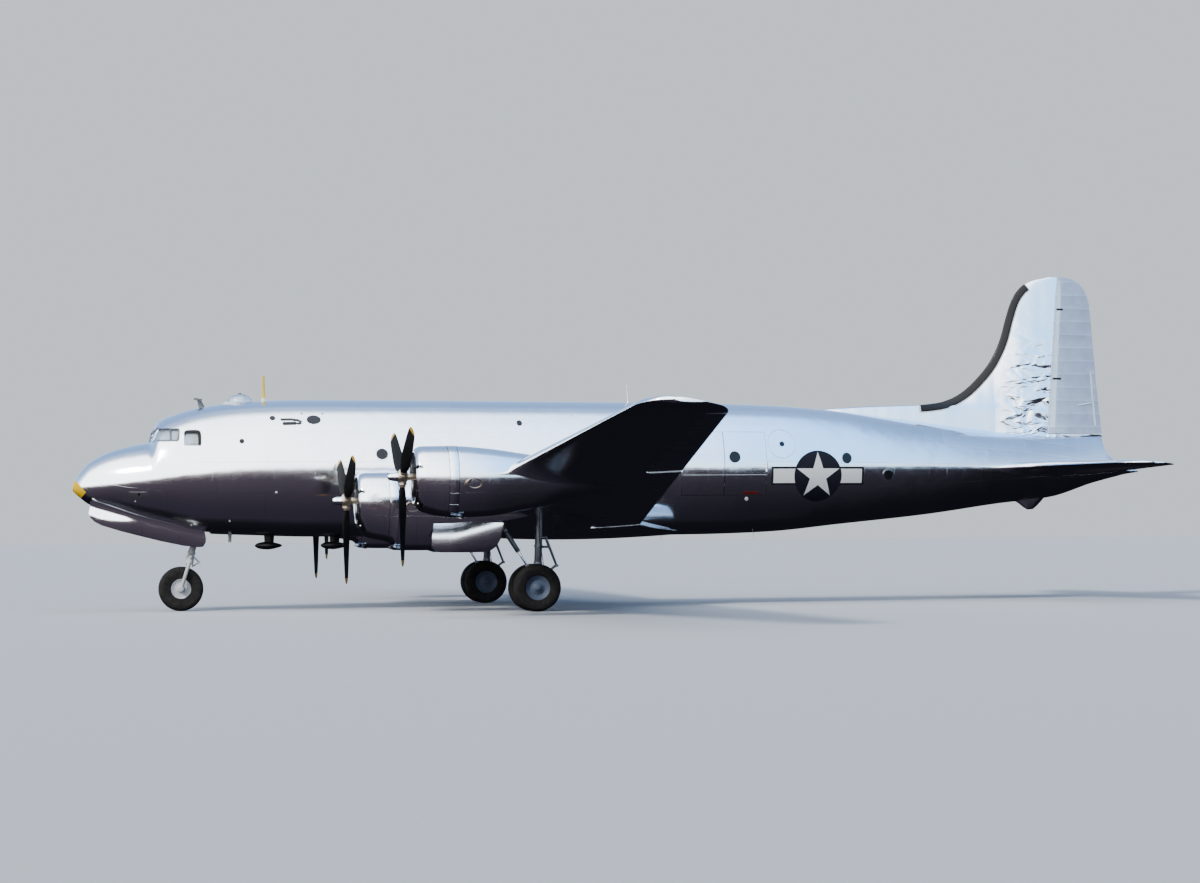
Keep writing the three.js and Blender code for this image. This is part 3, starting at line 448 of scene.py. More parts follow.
# Tail bumper: station, depth below the skin
bumper = [
    (25.0, 0.0), (25.12, 0.08), (25.24, 0.19), (25.36, 0.27), (25.52, 0.275), (25.63, 0.20), (25.74, 0.10),
    (25.84, 0.0),
]
steps = [(a[0] + (b[0] - a[0]) * t, a[1] + (b[1] - a[1]) * t) for a, b in zip(bumper, bumper[1:])
         for t in (0, 0.33, 0.67)]
rings = []
for station, drop in steps + bumper[-1:]:
    top = at_place(BODY, station)[1] + 0.11
    rings.append([at(station, 0.13 * math.cos(a),
                     top - (drop + 0.10) * abs(math.sin(a)) ** 1.2 * (1 if math.sin(a) > 0 else -0.2))
                  for a in angles_round(28)])
make_piece("tail_bumper", skin_over(rings), body_metal)

# ---------------------------------------------------------------- Cargo doorway and doors
# Two leaves of the same riveted sheet close a wide doorway on the port side. Each
# hangs on knuckles at its outer edge and swings outwards.
DOORWAY = {"front": 15.30, "rear": 17.58, "bottom": 2.83, "top": 4.48, "gap": 0.008}
KNUCKLE = {"radius": 0.026, "body": [(3.43, 3.50), (3.62, 3.69)], "leaf": (3.5004, 3.6196)}
LEAF_WALL = 0.018
door_middle = (DOORWAY["front"] + DOORWAY["rear"]) / 2


def rod(start, end, radius, end_radius=None, segments=24, caps=True):
    """A round bar or cone between two points, with a small chamfer at its ends"""
    start, end = Vector(start), Vector(end)
    along = end - start
    bm = bmesh.new()
    bmesh.ops.create_cone(bm, cap_ends=caps, segments=segments, radius1=radius,
                          radius2=radius if end_radius is None else end_radius, depth=along.length)
    rims = [e for e in bm.edges if caps and abs(e.verts[0].co.z - e.verts[1].co.z) < 1e-6]
    edge = min(radius * 0.12, 0.004, along.length * 0.1)
    if caps and edge > 0.0008 and (end_radius is None or end_radius > edge * 2):
        bmesh.ops.bevel(bm, geom=rims, offset=edge, offset_type="OFFSET", segments=2, profile=0.5,
                        affect="EDGES", material=-1)
    turn = Vector((0, 0, 1)).rotation_difference(along.normalized()).to_matrix().to_4x4()
    bmesh.ops.transform(bm, matrix=Matrix.Translation((start + end) / 2) @ turn, verts=bm.verts)
    return bm


def together(*shapes):
    """Several shapes as one"""
    whole = bmesh.new()
    for shape in shapes:
        mesh = bpy.data.meshes.new("part")
        shape.to_mesh(mesh)
        shape.free()
        whole.from_mesh(mesh)
        bpy.data.meshes.remove(mesh)
    return whole


cut(body_parts["fuselage_aft"], brick(at(DOORWAY["front"], -2, DOORWAY["bottom"]),
                                      at(DOORWAY["rear"], -1, DOORWAY["top"])))
hinge_metal = polished_sheet("hinge_steel", tint=(0.55, 0.55, 0.56), rough=0.3)
door_metal = polished_sheet("door_polished_sheet", around=(0.0, 3.56, 1.62), panel=(1.14, 0.55), frames=0.38)
# name, station and side place of the hinge line, free edge
LEAVES = [("cargo_door_front", DOORWAY["front"] + DOORWAY["gap"], -1.592, door_middle - DOORWAY["gap"]),
          ("cargo_door_rear", DOORWAY["rear"] - DOORWAY["gap"], -1.541, door_middle + DOORWAY["gap"])]
for name, hinge, side, free in LEAVES:
    first, last = sorted((hinge, free))
    low, high = DOORWAY["bottom"] + DOORWAY["gap"], DOORWAY["top"] - DOORWAY["gap"]
    rows = [[at(x, -body_side(x, z), z) for z in spread(low, high, 0.05)] for x in spread(first, last, 0.08)]
    bm = bmesh.new()
    bmesh.ops.create_grid(bm, x_segments=len(rows) - 1, y_segments=len(rows[0]) - 1, size=0.5)
    for vert in bm.verts:
        i, j = round((vert.co.x + 0.5) * (len(rows) - 1)), round((vert.co.y + 0.5) * (len(rows[0]) - 1))
        vert.co = rows[i][j]
    turn_to_side(bm, -1)
    give_wall(make_piece(name, bm, door_metal, name, nodes=[name]), LEAF_WALL)
    pin = rod(at(hinge, side, KNUCKLE["leaf"][0]), at(hinge, side, KNUCKLE["leaf"][1]), KNUCKLE["radius"])
    make_piece(f"{name}_knuckle", pin, hinge_metal, name)
    fixed = [rod(at(hinge, side, a), at(hinge, side, b), KNUCKLE["radius"]) for a, b in KNUCKLE["body"]]
    make_piece(f"{name}_fixed_knuckles", together(*fixed), hinge_metal)

# ---------------------------------------------------------------- Windows and marks on the skin
# Flush shapes that follow the curve of the skin: round panes clamped in pale metal
# rings, small dark ports, thin riveted plates, and the painted national star with bars.
# The panes and ports are opaque: their near-black colour is painted shade of the unlit
# cabin behind the glass, and only their gloss is real.
SIDES = (("left", -1), ("right", 1))
PLATE = 0.006


def flat_shape(outline, cuts=5):
    """A flat outline of (station, height) points, filled and divided so that it can bend"""
    bm = bmesh.new()
    verts = [bm.verts.new((NOSE_TIP + x, 0, z)) for x, z in outline]
    bmesh.ops.contextual_create(bm, geom=verts)
    bmesh.ops.triangulate(bm, faces=bm.faces)
    if cuts:
        bmesh.ops.subdivide_edges(bm, edges=bm.edges, cuts=cuts, use_grid_fill=True)
    return bm


def round_shape(x, z, radius, inner=0.0, wide=1.0, steps=6, points=48):
    """A flat disc or ring of (station, height), built of several rings so that it can bend"""
    bm = bmesh.new()
    bmesh.ops.create_circle(bm, cap_ends=inner == 0, cap_tris=True, segments=points,
                            radius=radius if inner else radius / steps)
    bmesh.ops.rotate(bm, cent=(0, 0, 0), matrix=Matrix.Rotation(radians(90), 3, "X"), verts=bm.verts)
    edge = [e for e in bm.edges if len(e.link_faces) < 2]
    sizes = [inner / radius] if inner else [(k + 1) / k for k in range(1, steps)]
    for size in sizes:
        made = bmesh.ops.extrude_edge_only(bm, edges=edge)["geom"]
        edge = [g for g in made if isinstance(g, bmesh.types.BMEdge)]
        bmesh.ops.scale(bm, vec=(size, 1, size), verts=[g for g in made if isinstance(g, bmesh.types.BMVert)])
    bmesh.ops.scale(bm, vec=(wide, 1, 1), verts=bm.verts)
    bmesh.ops.translate(bm, vec=at(x, 0, z), verts=bm.verts)
    return bm


def lay_on_body(bm, side, proud):
    """A flat shape bent onto the skin's port (-1) or starboard (1) side, a little proud of it"""
    for vert in bm.verts:
        x, z = vert.co.x - NOSE_TIP, vert.co.z
        vert.co.y = side * (body_side(x, z) + proud)
    bmesh.ops.recalc_face_normals(bm, faces=bm.faces)
    turn_to_side(bm, side)
    return bm


def painted(name, colour, rough=0.45, grain=0.12, bump=0.0004, scale=30.0, metallic=0.0, coat=0.0):
    """Sprayed paint or plastic with faint mottling and a fine orange-peel"""
    material, tree, shader = fresh_material(name)
    spot = add_node(tree, "ShaderNodeTexCoord").outputs["Object"]
    fine = noise_of(tree, spot, scale, 5.0, 0.6)
    broad = noise_of(tree, spot, scale / 9, 3.0)
    mix = math_of(tree, "MULTIPLY_ADD", fine, 0.5, math_of(tree, "MULTIPLY", broad, 0.5))
    low = tuple(c * (1 - grain * 2) for c in colour)
    high = tuple(min(1, c * (1 + grain * 2) + grain * 0.02) for c in colour)
    tree.links.new(ramp_of(tree, mix, [(0.3, low), (0.7, high)]), shader.inputs["Base Color"])
    tree.links.new(math_of(tree, "MULTIPLY_ADD", fine, 0.2, rough - 0.1), shader.inputs["Roughness"])
    shader.inputs["Metallic"].default_value = metallic
    shader.inputs["Coat Weight"].default_value = coat * 0.3
    shader.inputs["Specular IOR Level"].default_value = 0.12
    add_relief(tree, shader, bump, fine)
    return material


# Panes and ports: a near-black colour that is painted shade of the unlit cabin behind them, under a real glossy coat
glass_with_painted_shade = painted("dark_window_glass", (0.012, 0.013, 0.016), rough=0.14, grain=0.1, bump=0.0001, coat=0.6)
window_ring = painted("window_ring_metal", (0.82, 0.83, 0.85), rough=0.2, metallic=1.0)
mark_white = painted("insignia_white", (0.97, 0.97, 0.96), rough=0.5, grain=0.02)
mark_blue = painted("insignia_dark_blue", (0.010, 0.010, 0.016), rough=0.6, grain=0.06)
patch_red = painted("hatch_red", (0.12, 0.010, 0.010), rough=0.55, grain=0.08)

# station, height, radius, width share
ROUND_WINDOWS = [
    (7.575, 3.90, 0.185, 1.1), (16.715, 3.819, 0.205, 1.0), (19.80, 3.793, 0.195, 0.95),
    (20.986, 3.352, 0.17, 1.0),
]
DARK_PORTS = [
    (4.106, 4.226, 0.062, 1.0), (4.887, 4.817, 0.06, 1.2), (5.909, 4.775, 0.115, 1.55),
    (11.13, 4.70, 0.075, 1.0), (18.022, 4.161, 0.068, 1.0), (21.11, 4.99, 0.03, 1.0),
]
for word, side in SIDES:
    glass = [lay_on_body(round_shape(x, z, r * 0.78, wide=w), side, 0.003) for x, z, r, w in ROUND_WINDOWS]
    glass += [lay_on_body(round_shape(x, z, r, wide=w), side, 0.003) for x, z, r, w in DARK_PORTS]
    rings = [lay_on_body(round_shape(x, z, r, inner=r * 0.74, wide=w), side, 0.005)
             for x, z, r, w in ROUND_WINDOWS]
    for kind, shapes, material, slot in (("glass", glass, glass_with_painted_shade, "clear_panel"),
                                         ("rings", rings, window_ring, "polished_metal")):
        give_wall(make_piece(f"window_{kind}_{word}", together(*shapes), material, slot=slot), PLATE)

# name, shape, finish, height over the skin, body it rides on
marks = [("nose_plate", flat_shape([(1.37, 2.84), (1.80, 2.84), (1.80, 2.98), (1.37, 2.98)], 6), hinge_metal,
          0.004, "airframe"),
         ("nose_plate_port", round_shape(1.609, 2.924, 0.03), glass_with_painted_shade, 0.007, "airframe"),
         ("skin_ring", round_shape(18.01, 4.165, 0.385, inner=0.362, points=72), hinge_metal, 0.004,
          "airframe"),
         ("door_red_plate", flat_shape([(16.96, 2.858), (17.36, 2.858), (17.36, 2.93), (16.96, 2.93)], 6),
          patch_red, 0.004, "cargo_door_rear"),
         ("belly_lamp", round_shape(17.07, 2.735, 0.045), mark_white, 0.008, "airframe")]
for name, shape, material, proud, body in marks:
    give_wall(make_piece(name, lay_on_body(shape, -1, proud), material, body), PLATE)

# The star stands in a disc with a bar on each side, all in a dark border
MARK = {"x": 18.99, "z": 3.33, "disc": 0.64, "bar": 1.23, "high": 0.185, "border": 0.055}


def bar_outline(reach, high):
    """A plain bar through the middle of the mark"""
    x, z = MARK["x"], MARK["z"]
    return [(x - reach, z - high), (x + reach, z - high), (x + reach, z + high), (x - reach, z + high)]


def star_outline(radius):
    """A five-pointed star in the middle of the mark"""
    points = []
    for i in range(10):
        angle = math.pi / 2 + i * math.pi / 5
        reach = radius if i % 2 == 0 else radius * 0.382
        points.append((MARK["x"] + reach * math.cos(angle), MARK["z"] + reach * math.sin(angle)))
    return points


for word, side in SIDES:
    border = MARK["border"]
    # name, height over the skin, paint, shape
    layers = [
        ("mark_border", 0.0020, mark_blue, flat_shape(bar_outline(MARK["bar"] + border, MARK["high"] + border), 24)),
        ("mark_disc", 0.0042, mark_blue, round_shape(MARK["x"], MARK["z"], MARK["disc"] + 0.02, steps=9, points=72)),
        ("mark_bars", 0.0031, mark_white, flat_shape(bar_outline(MARK["bar"], MARK["high"]), 24)),
        ("mark_star", 0.0053, mark_white, flat_shape(star_outline(MARK["disc"] - 0.015), 8)),
    ]
    for name, proud, material, shape in layers:
        make_piece(f"{name}_{word}", lay_on_body(shape, side, proud), material)

# ---------------------------------------------------------------- Wing
# Straight tapered halves of polished sheet on spars and ribs, with rounded tips. The
# rear edge is cut away for a long metal flap and a fabric-covered aileron.
WING = {"lead": 8.44, "sweep": 0.115, "root_chord": 5.86, "tip_chord": 1.70, "height": 2.20, "span": 17.905,
        "dihedral": 0.1228, "root_thick": 0.16, "tip_thick": 0.12, "incidence": radians(4)}
# distance out, share of the chord kept, share of the loss taken at the front
WING_TIP = [
    (17.25, 1.0, 0.0), (17.45, 0.965, 0.55), (17.6, 0.905, 0.55), (17.74, 0.81, 0.52), (17.84, 0.66, 0.5),
    (17.905, 0.38, 0.5),
]
# distance out, length added behind, thickness share
FAIRING = [(1.0, 1.15, 1.12), (1.56, 1.05, 1.10), (1.8, 0.42, 1.03), (2.15, 0.0, 1.0)]
FLAP = {"inner": 2.25, "outer": 10.38, "hinge": 0.79, "drop": True}
AILERON = {"inner": 10.50, "outer": 17.15, "hinge": 0.78, "drop": False}
END_GAP = 0.026
RUN = 0.014


def foil_at(share, thick):
    """Half thickness and camber of a section at a share of its chord"""
    f = max(share, 0.0)
    half = 5 * thick * (0.2969 * math.sqrt(f) - 0.126 * f - 0.3516 * f**2 + 0.2843 * f**3 - 0.1015 * f**4)
    m, k = 0.2025, 15.957 / 6
    camber = k * (f**3 - 3 * m * f**2 + m * m * (3 - m) * f) if f < m else k * m**3 * (1 - f)
    return max(half, 0.0012), camber


def on_chord(rib, share, up):
    """A point of a rib at a share of its chord and a height over the chord line"""
    along = share * rib["chord"]
    turn = rib["incidence"]
    return Vector((NOSE_TIP + rib["lead"] + along * math.cos(turn) + up * math.sin(turn), rib["y"],
                   rib["z"] - along * math.sin(turn) + up * math.cos(turn)))


def wing_rib(y):
    """The section of the port wing at a distance out"""
    share = y / WING["span"]
    rib = {
        "y": -y, "cambered": 1, "incidence": WING["incidence"], "lead": WING["lead"] + WING["sweep"] * y,
        "z": WING["height"] + WING["dihedral"] * y,
        "chord": WING["root_chord"] + (WING["tip_chord"] - WING["root_chord"]) * share,
        "thick": WING["root_thick"] + (WING["tip_thick"] - WING["root_thick"]) * share,
    }
    if y < FAIRING[-1][0]:
        behind, thicker = at_place(FAIRING, y)
        rib["thick"] *= thicker * rib["chord"] / (rib["chord"] + behind)
        rib["chord"] += behind
    if y > WING_TIP[0][0]:
        keep, front = at_place(WING_TIP, y)
        rib["lead"] += rib["chord"] * (1 - keep) * front
        rib["chord"] *= keep
    return rib


RIB_POINTS = 36


def skin_points(rib, shares):
    """Points on the upper and on the lower skin of a rib, at shares of its chord"""
    upper, lower = [], []
    for share in shares:
        half, camber = foil_at(share, rib["thick"])
        upper.append(on_chord(rib, share, (camber * rib["cambered"] + half) * rib["chord"]))
        lower.append(on_chord(rib, share, (camber * rib["cambered"] - half) * rib["chord"]))
    return upper, lower


def rib_ring(rib, points=RIB_POINTS):
    """Points around a section, from its tail over the top, round the nose and back below"""
    upper, lower = skin_points(rib, [(1 + math.cos(math.pi * i / points)) / 2 for i in range(points + 1)])
    return upper + lower[-2::-1]


def hinge_of(rib, share):
    """Radius of the round nose of a hinged surface, and its height over the chord line"""
    half, camber = foil_at(share, rib["thick"])
    return half * rib["chord"], camber * rib["cambered"] * rib["chord"]


def half_turn(steps):
    """Even angles over half a turn, from one side round the front to the other"""
    return [math.pi / 2 + math.pi * i / steps for i in range(steps + 1)]


def nose_arc(rib, share, radius, centre):
    """The round nose of a hinged surface, from above to below the hinge line"""
    return [on_chord(rib, share + radius * math.cos(a) / rib["chord"], centre + radius * math.sin(a))
            for a in half_turn(14)]


def surface_ring(rib, share):
    """Points around the hinged rear part of a section"""
    radius, centre = hinge_of(rib, share)
    above, below = skin_points(rib, [share + (1 - share) * t for t in (0.12, 0.28, 0.46, 0.64, 0.82, 1.0)])
    return nose_arc(rib, share, radius, centre) + below + above[::-1]


def cove_ring(rib, part):
    """The room cut out of a section for its hinged part"""
    radius, centre = hinge_of(rib, part["hinge"])
    room = radius + RUN
    below = centre - (2 * room if part["drop"] else room)
    arc = nose_arc(rib, part["hinge"], room, centre)
    if part["drop"]:
        lip = room * math.sqrt(0.5)
        arc = arc[:11] + [on_chord(rib, part["hinge"] - lip / rib["chord"], centre - lip),
                          on_chord(rib, part["hinge"] - lip / rib["chord"], below)]
    return arc + [on_chord(rib, 1.2, below), on_chord(rib, 1.2, centre + room)]


def on_side(word, rings):
    """A skin over port rings, or its starboard twin"""
    bm = skin_over(rings)
    if word == "right":
        bmesh.ops.scale(bm, vec=(1, -1, 1), verts=bm.verts)
        bmesh.ops.reverse_faces(bm, faces=bm.faces)
    return bm


wing_metal = polished_sheet("wing_polished_sheet", panel=(1.5, 1.1), frames=0.40, wave=0.8)
flap_metal = polished_sheet("flap_polished_sheet", panel=(1.2, 0.9), frames=0.35, wave=0.8,
                            tint=(0.84, 0.855, 0.875), rough=0.14)


def doped_fabric(name, colour, rib_gap=0.34, along=1):
    """Taut doped fabric over ribs: silver-blue dope, a fine weave, and a tape over each rib"""
    material, tree, shader = fresh_material(name)
    spot = add_node(tree, "ShaderNodeTexCoord").outputs["Object"]
    across = add_node(tree, "ShaderNodeSeparateXYZ", {0: spot}).outputs[along]
    share = math_of(tree, "FRACT", math_of(tree, "DIVIDE", across, rib_gap))
    far = math_of(tree, "MULTIPLY", math_of(tree, "ABSOLUTE", math_of(tree, "SUBTRACT", share, 0.5)), 2.0)
    tape = add_node(tree, "ShaderNodeMapRange", {"Value": far, 1: 0.86, 2: 0.9, 3: 0.0, 4: 1.0},
                    interpolation_type="SMOOTHSTEP").outputs[0]
    sag = math_of(tree, "MULTIPLY", far, far)
    mottle = noise_of(tree, spot, 3.0, 5.0, 0.6)
    weave = noise_of(tree, spot, 260.0, 2.0)
    shade = math_of(tree, "MULTIPLY_ADD", tape, 0.16, math_of(tree, "MULTIPLY", mottle, 0.7))
    low, high = tuple(c * 0.82 for c in colour), tuple(min(1, c * 1.14) for c in colour)
    tree.links.new(ramp_of(tree, shade, [(0.2, low), (0.6, high)]), shader.inputs["Base Color"])
    shader.inputs["Metallic"].default_value = 0.35
    tree.links.new(math_of(tree, "MULTIPLY_ADD", mottle, 0.2, 0.38), shader.inputs["Roughness"])
    level = math_of(tree, "ADD", math_of(tree, "MULTIPLY", sag, 2.2), math_of(tree, "MULTIPLY", tape, 0.35))
    level = math_of(tree, "MULTIPLY_ADD", weave, 0.08, level)
    add_relief(tree, shader, 0.002, level)
    return material


fabric = doped_fabric("silver_doped_fabric", (0.55, 0.60, 0.70))
WING_STATIONS = sorted(set(spread(1.0, 2.15, 0.12) + spread(2.15, 17.25, 0.5) + spread(17.25, 17.905, 0.04)
                           + [FLAP["inner"] - END_GAP, AILERON["outer"] + END_GAP]))
for word, _ in SIDES:
    rings = [rib_ring(wing_rib(y)) for y in WING_STATIONS]
    wing = make_piece(f"wing_{word}", on_side(word, rings), wing_metal, nodes=[f"wing_{word}"], sharp=40)
    for part in (FLAP, AILERON):
        ends = (part["inner"] - END_GAP, part["outer"] + END_GAP)
        cut(wing, on_side(word, [cove_ring(wing_rib(y), part) for y in ends]))
    for kind, part, material, slot in (("flap", FLAP, flap_metal, "flap_metal"),
                                       ("aileron", AILERON, fabric, "silver_fabric")):
        name = f"{kind}_{word}"
        rings = [surface_ring(wing_rib(y), part["hinge"]) for y in spread(part["inner"], part["outer"], 0.5)]
        make_piece(name, on_side(word, rings), material, name, slot, [name], sharp=40)

# ---------------------------------------------------------------- Tail surfaces
# A tapered tailplane of polished sheet with fabric elevators, and a tall fin with a
# long dorsal ridge and a fabric rudder. Each surface turns in a rounded cove.
# distance out, leading edge, chord
TAILPLANE = [
    (0.18, 24.08, 3.56), (5.45, 25.50, 1.56), (5.65, 25.60, 1.38), (5.80, 25.72, 1.18), (5.90, 25.83, 0.98),
    (5.96, 25.96, 0.76), (6.02, 26.20, 0.38),
]
ELEVATOR = {"inner": 0.56, "outer": 5.40, "hinge": 0.6, "drop": False}
TAIL_HEIGHT = 3.55
TIP_FROM_PLACE = 5.45


def tail_rib(y, straight=False):
    """The section of the port tailplane at a distance out"""
    if straight:
        (y0, lead0, chord0), (y1, lead1, chord1) = TAILPLANE[:2]
        share = (y - y0) / (y1 - y0)
        lead, chord = lead0 + (lead1 - lead0) * share, chord0 + (chord1 - chord0) * share
    else:
        lead, chord = at_place(TAILPLANE, y)
    return {"y": -y, "lead": lead, "chord": chord, "z": TAIL_HEIGHT, "thick": 0.11, "cambered": 0,
            "incidence": radians(2)}


tail_metal = polished_sheet("tail_polished_sheet", panel=(1.1, 0.9), frames=0.36, wave=1.2)
for word, _ in SIDES:
    rings = [rib_ring(tail_rib(y, y <= TIP_FROM_PLACE), 24)
             for y in spread(0.18, TIP_FROM_PLACE, 0.5) + spread(TIP_FROM_PLACE, 6.02, 0.05)[1:]]
    tail = make_piece(f"tailplane_{word}", on_side(word, rings), tail_metal, nodes=[f"tailplane_{word}"],
                      sharp=40)
    ends = (ELEVATOR["inner"] - END_GAP, ELEVATOR["outer"] + END_GAP)
    cut(tail, on_side(word, [cove_ring(tail_rib(y, True), ELEVATOR) for y in ends]))
    rings = [surface_ring(tail_rib(y, True), ELEVATOR["hinge"])
             for y in spread(ELEVATOR["inner"], ELEVATOR["outer"], 0.4)]
    name = f"elevator_{word}"
    make_piece(name, on_side(word, rings), fabric, name, "silver_fabric", [name], sharp=40)

# height, leading edge
FIN = [
    (4.30, 19.30), (5.08, 19.30), (5.225, 20.90), (5.262, 22.38), (5.347, 22.98), (5.566, 23.47),
    (5.921, 23.90), (6.440, 24.34), (7.042, 24.64), (7.643, 24.82), (8.137, 25.00), (8.468, 25.24),
    (8.664, 25.56), (8.770, 26.00),
]
# height, trailing edge
RUDDER = [
    (4.50, 27.56), (5.42, 27.46), (6.792, 27.34), (8.028, 27.24), (8.302, 27.16), (8.575, 26.99),
    (8.700, 26.80), (8.770, 26.56),
]
# share of the rudder's length behind its hinge line, share of its half thickness
RUDDER_TAPER = [(0.0, 1.0), (0.25, 0.86), (0.5, 0.6), (0.75, 0.32), (1.0, 0.03)]
HINGE = {"x": 25.95, "z": 4.458, "slope": 0.0861}


def hinge_x(z):
    """Station of the rudder's hinge line at a height"""
    return HINGE["x"] + (z - HINGE["z"]) * HINGE["slope"]


def fin_half(z):
    """Half thickness of the fin at its thickest, at a height"""
    return 0.205 + (0.070 - 0.205) * (z - 4.30) / (8.77 - 4.30)


FIN_SHARES = [(1 + math.cos(math.pi * i / 22)) / 2 for i in range(23)]


def fin_ring(z):
    """Points around the fin at a height"""
    lead = at_place(FIN, z)[0]
    length = hinge_x(z) - fin_half(z) * 0.2 - lead
    half = [fin_half(z) * min(1.0, 1.9 * math.sqrt(f) - 0.9 * f) for f in FIN_SHARES]
    port, starboard = ([at(lead + f * length, s * h, z) for f, h in zip(FIN_SHARES, half)] for s in (-1, 1))
    return port + starboard[-2::-1]


def rudder_nose(z, radius):
    """The round nose of the rudder, from starboard to port"""
    return [at(hinge_x(z) + radius * math.cos(a), radius * math.sin(a), z) for a in half_turn(12)]


def rudder_ring(z):
    """Points around the rudder at a height"""
    length, half = at_place(RUDDER, z)[0] - hinge_x(z), fin_half(z)
    port, starboard = ([at(hinge_x(z) + length * t, s * half * h, z) for t, h in RUDDER_TAPER[1:]]
                       for s in (-1, 1))
    return rudder_nose(z, half) + port + starboard[::-1]


fin_levels = spread(4.40, 5.08, 0.2)
for first, last, step in ((5.08, 5.6, 0.035), (5.6, 8.2, 0.16), (8.2, 8.77, 0.04)):
    fin_levels += spread(first, last, step)[1:]
fin_metal = polished_sheet("fin_polished_sheet", panel=(1.3, 0.9), frames=0.42, wave=2.4)
fin = make_piece("fin", skin_over([fin_ring(z) for z in fin_levels]), fin_metal, nodes=["fin"], sharp=40)
cut(fin, skin_over([rudder_nose(z, fin_half(z) + RUN) + [at(28.6, -0.6, z), at(28.6, 0.6, z)]
                    for z in (4.2, 8.9)]))
rudder_levels = spread(4.50, 8.0, 0.25) + spread(8.0, 8.77, 0.05)[1:]
rudder_fabric = doped_fabric("rudder_doped_fabric", (0.50, 0.56, 0.68), rib_gap=0.36, along=2)
make_piece("rudder", skin_over([rudder_ring(z) for z in rudder_levels]), rudder_fabric, "rudder",
           "silver_fabric", ["rudder"], sharp=40)
make_piece("rudder_foot_fairing", skin_over([rudder_ring(z) for z in (4.36, 4.42, 4.482)]), fin_metal,
           sharp=40)

# ---------------------------------------------------------------- Nacelles
# Each engine sits in a round cowl with a scoop below and a ring of cowl flaps. The
# sheet body behind it fairs into the wing; the inner pair also house the main gear.
# station from the cowl lip, half width, depth below and height above the shaft line
INNER_NACELLE = [
    (0.0, 0.585, 0.59, 0.585), (0.06, 0.655, 0.68, 0.65), (0.2, 0.69, 0.86, 0.685), (0.78, 0.705, 1.01, 0.69),
    (0.9, 0.705, 1.175, 0.68), (1.8, 0.70, 1.195, 0.64), (3.3, 0.69, 1.06, 0.56), (4.6, 0.62, 0.84, 0.42),
    (5.3, 0.44, 0.68, 0.30), (5.85, 0.15, 0.48, 0.06),
]
OUTER_NACELLE = [
    (0.0, 0.585, 0.59, 0.585), (0.06, 0.655, 0.68, 0.65), (0.2, 0.69, 0.79, 0.685), (0.86, 0.705, 0.91, 0.69),
    (1.5, 0.69, 0.90, 0.65), (2.6, 0.59, 0.74, 0.50), (3.8, 0.38, 0.48, 0.30), (4.7, 0.12, 0.33, 0.04),
]
# Inside of the cowl: station from the lip, radius
COWL_INSIDE = [
    (1.2, 0.61), (0.6, 0.615), (0.2, 0.6), (0.1, 0.575), (0.045, 0.553), (0.015, 0.551), (0.004, 0.561),
]
GEAR_WELL = {"front": 8.45, "rear": 11.45, "half_width": 0.60, "top": 2.34}
LIP_BEHIND_PROP = 0.24
# number, sideways place, shaft height, propeller station
ENGINES = [
    (1, -8.39, 3.169, 7.18), (2, -3.774, 2.703, 6.433), (3, 3.774, 2.703, 6.433), (4, 8.39, 3.169, 7.18),
]
COWL_FLAPS = {"count": 16, "first": radians(-62), "sweep": radians(304), "groove": 0.012}
# Oil cooler scoop: station from the cowl lip, half width, half height
COOLER_MOUTH = [
    (0.055, 0.30, 0.055), (0.045, 0.31, 0.065), (0.05, 0.325, 0.075), (0.12, 0.35, 0.09), (0.4, 0.36, 0.1),
]
COOLER_DROP = 0.60
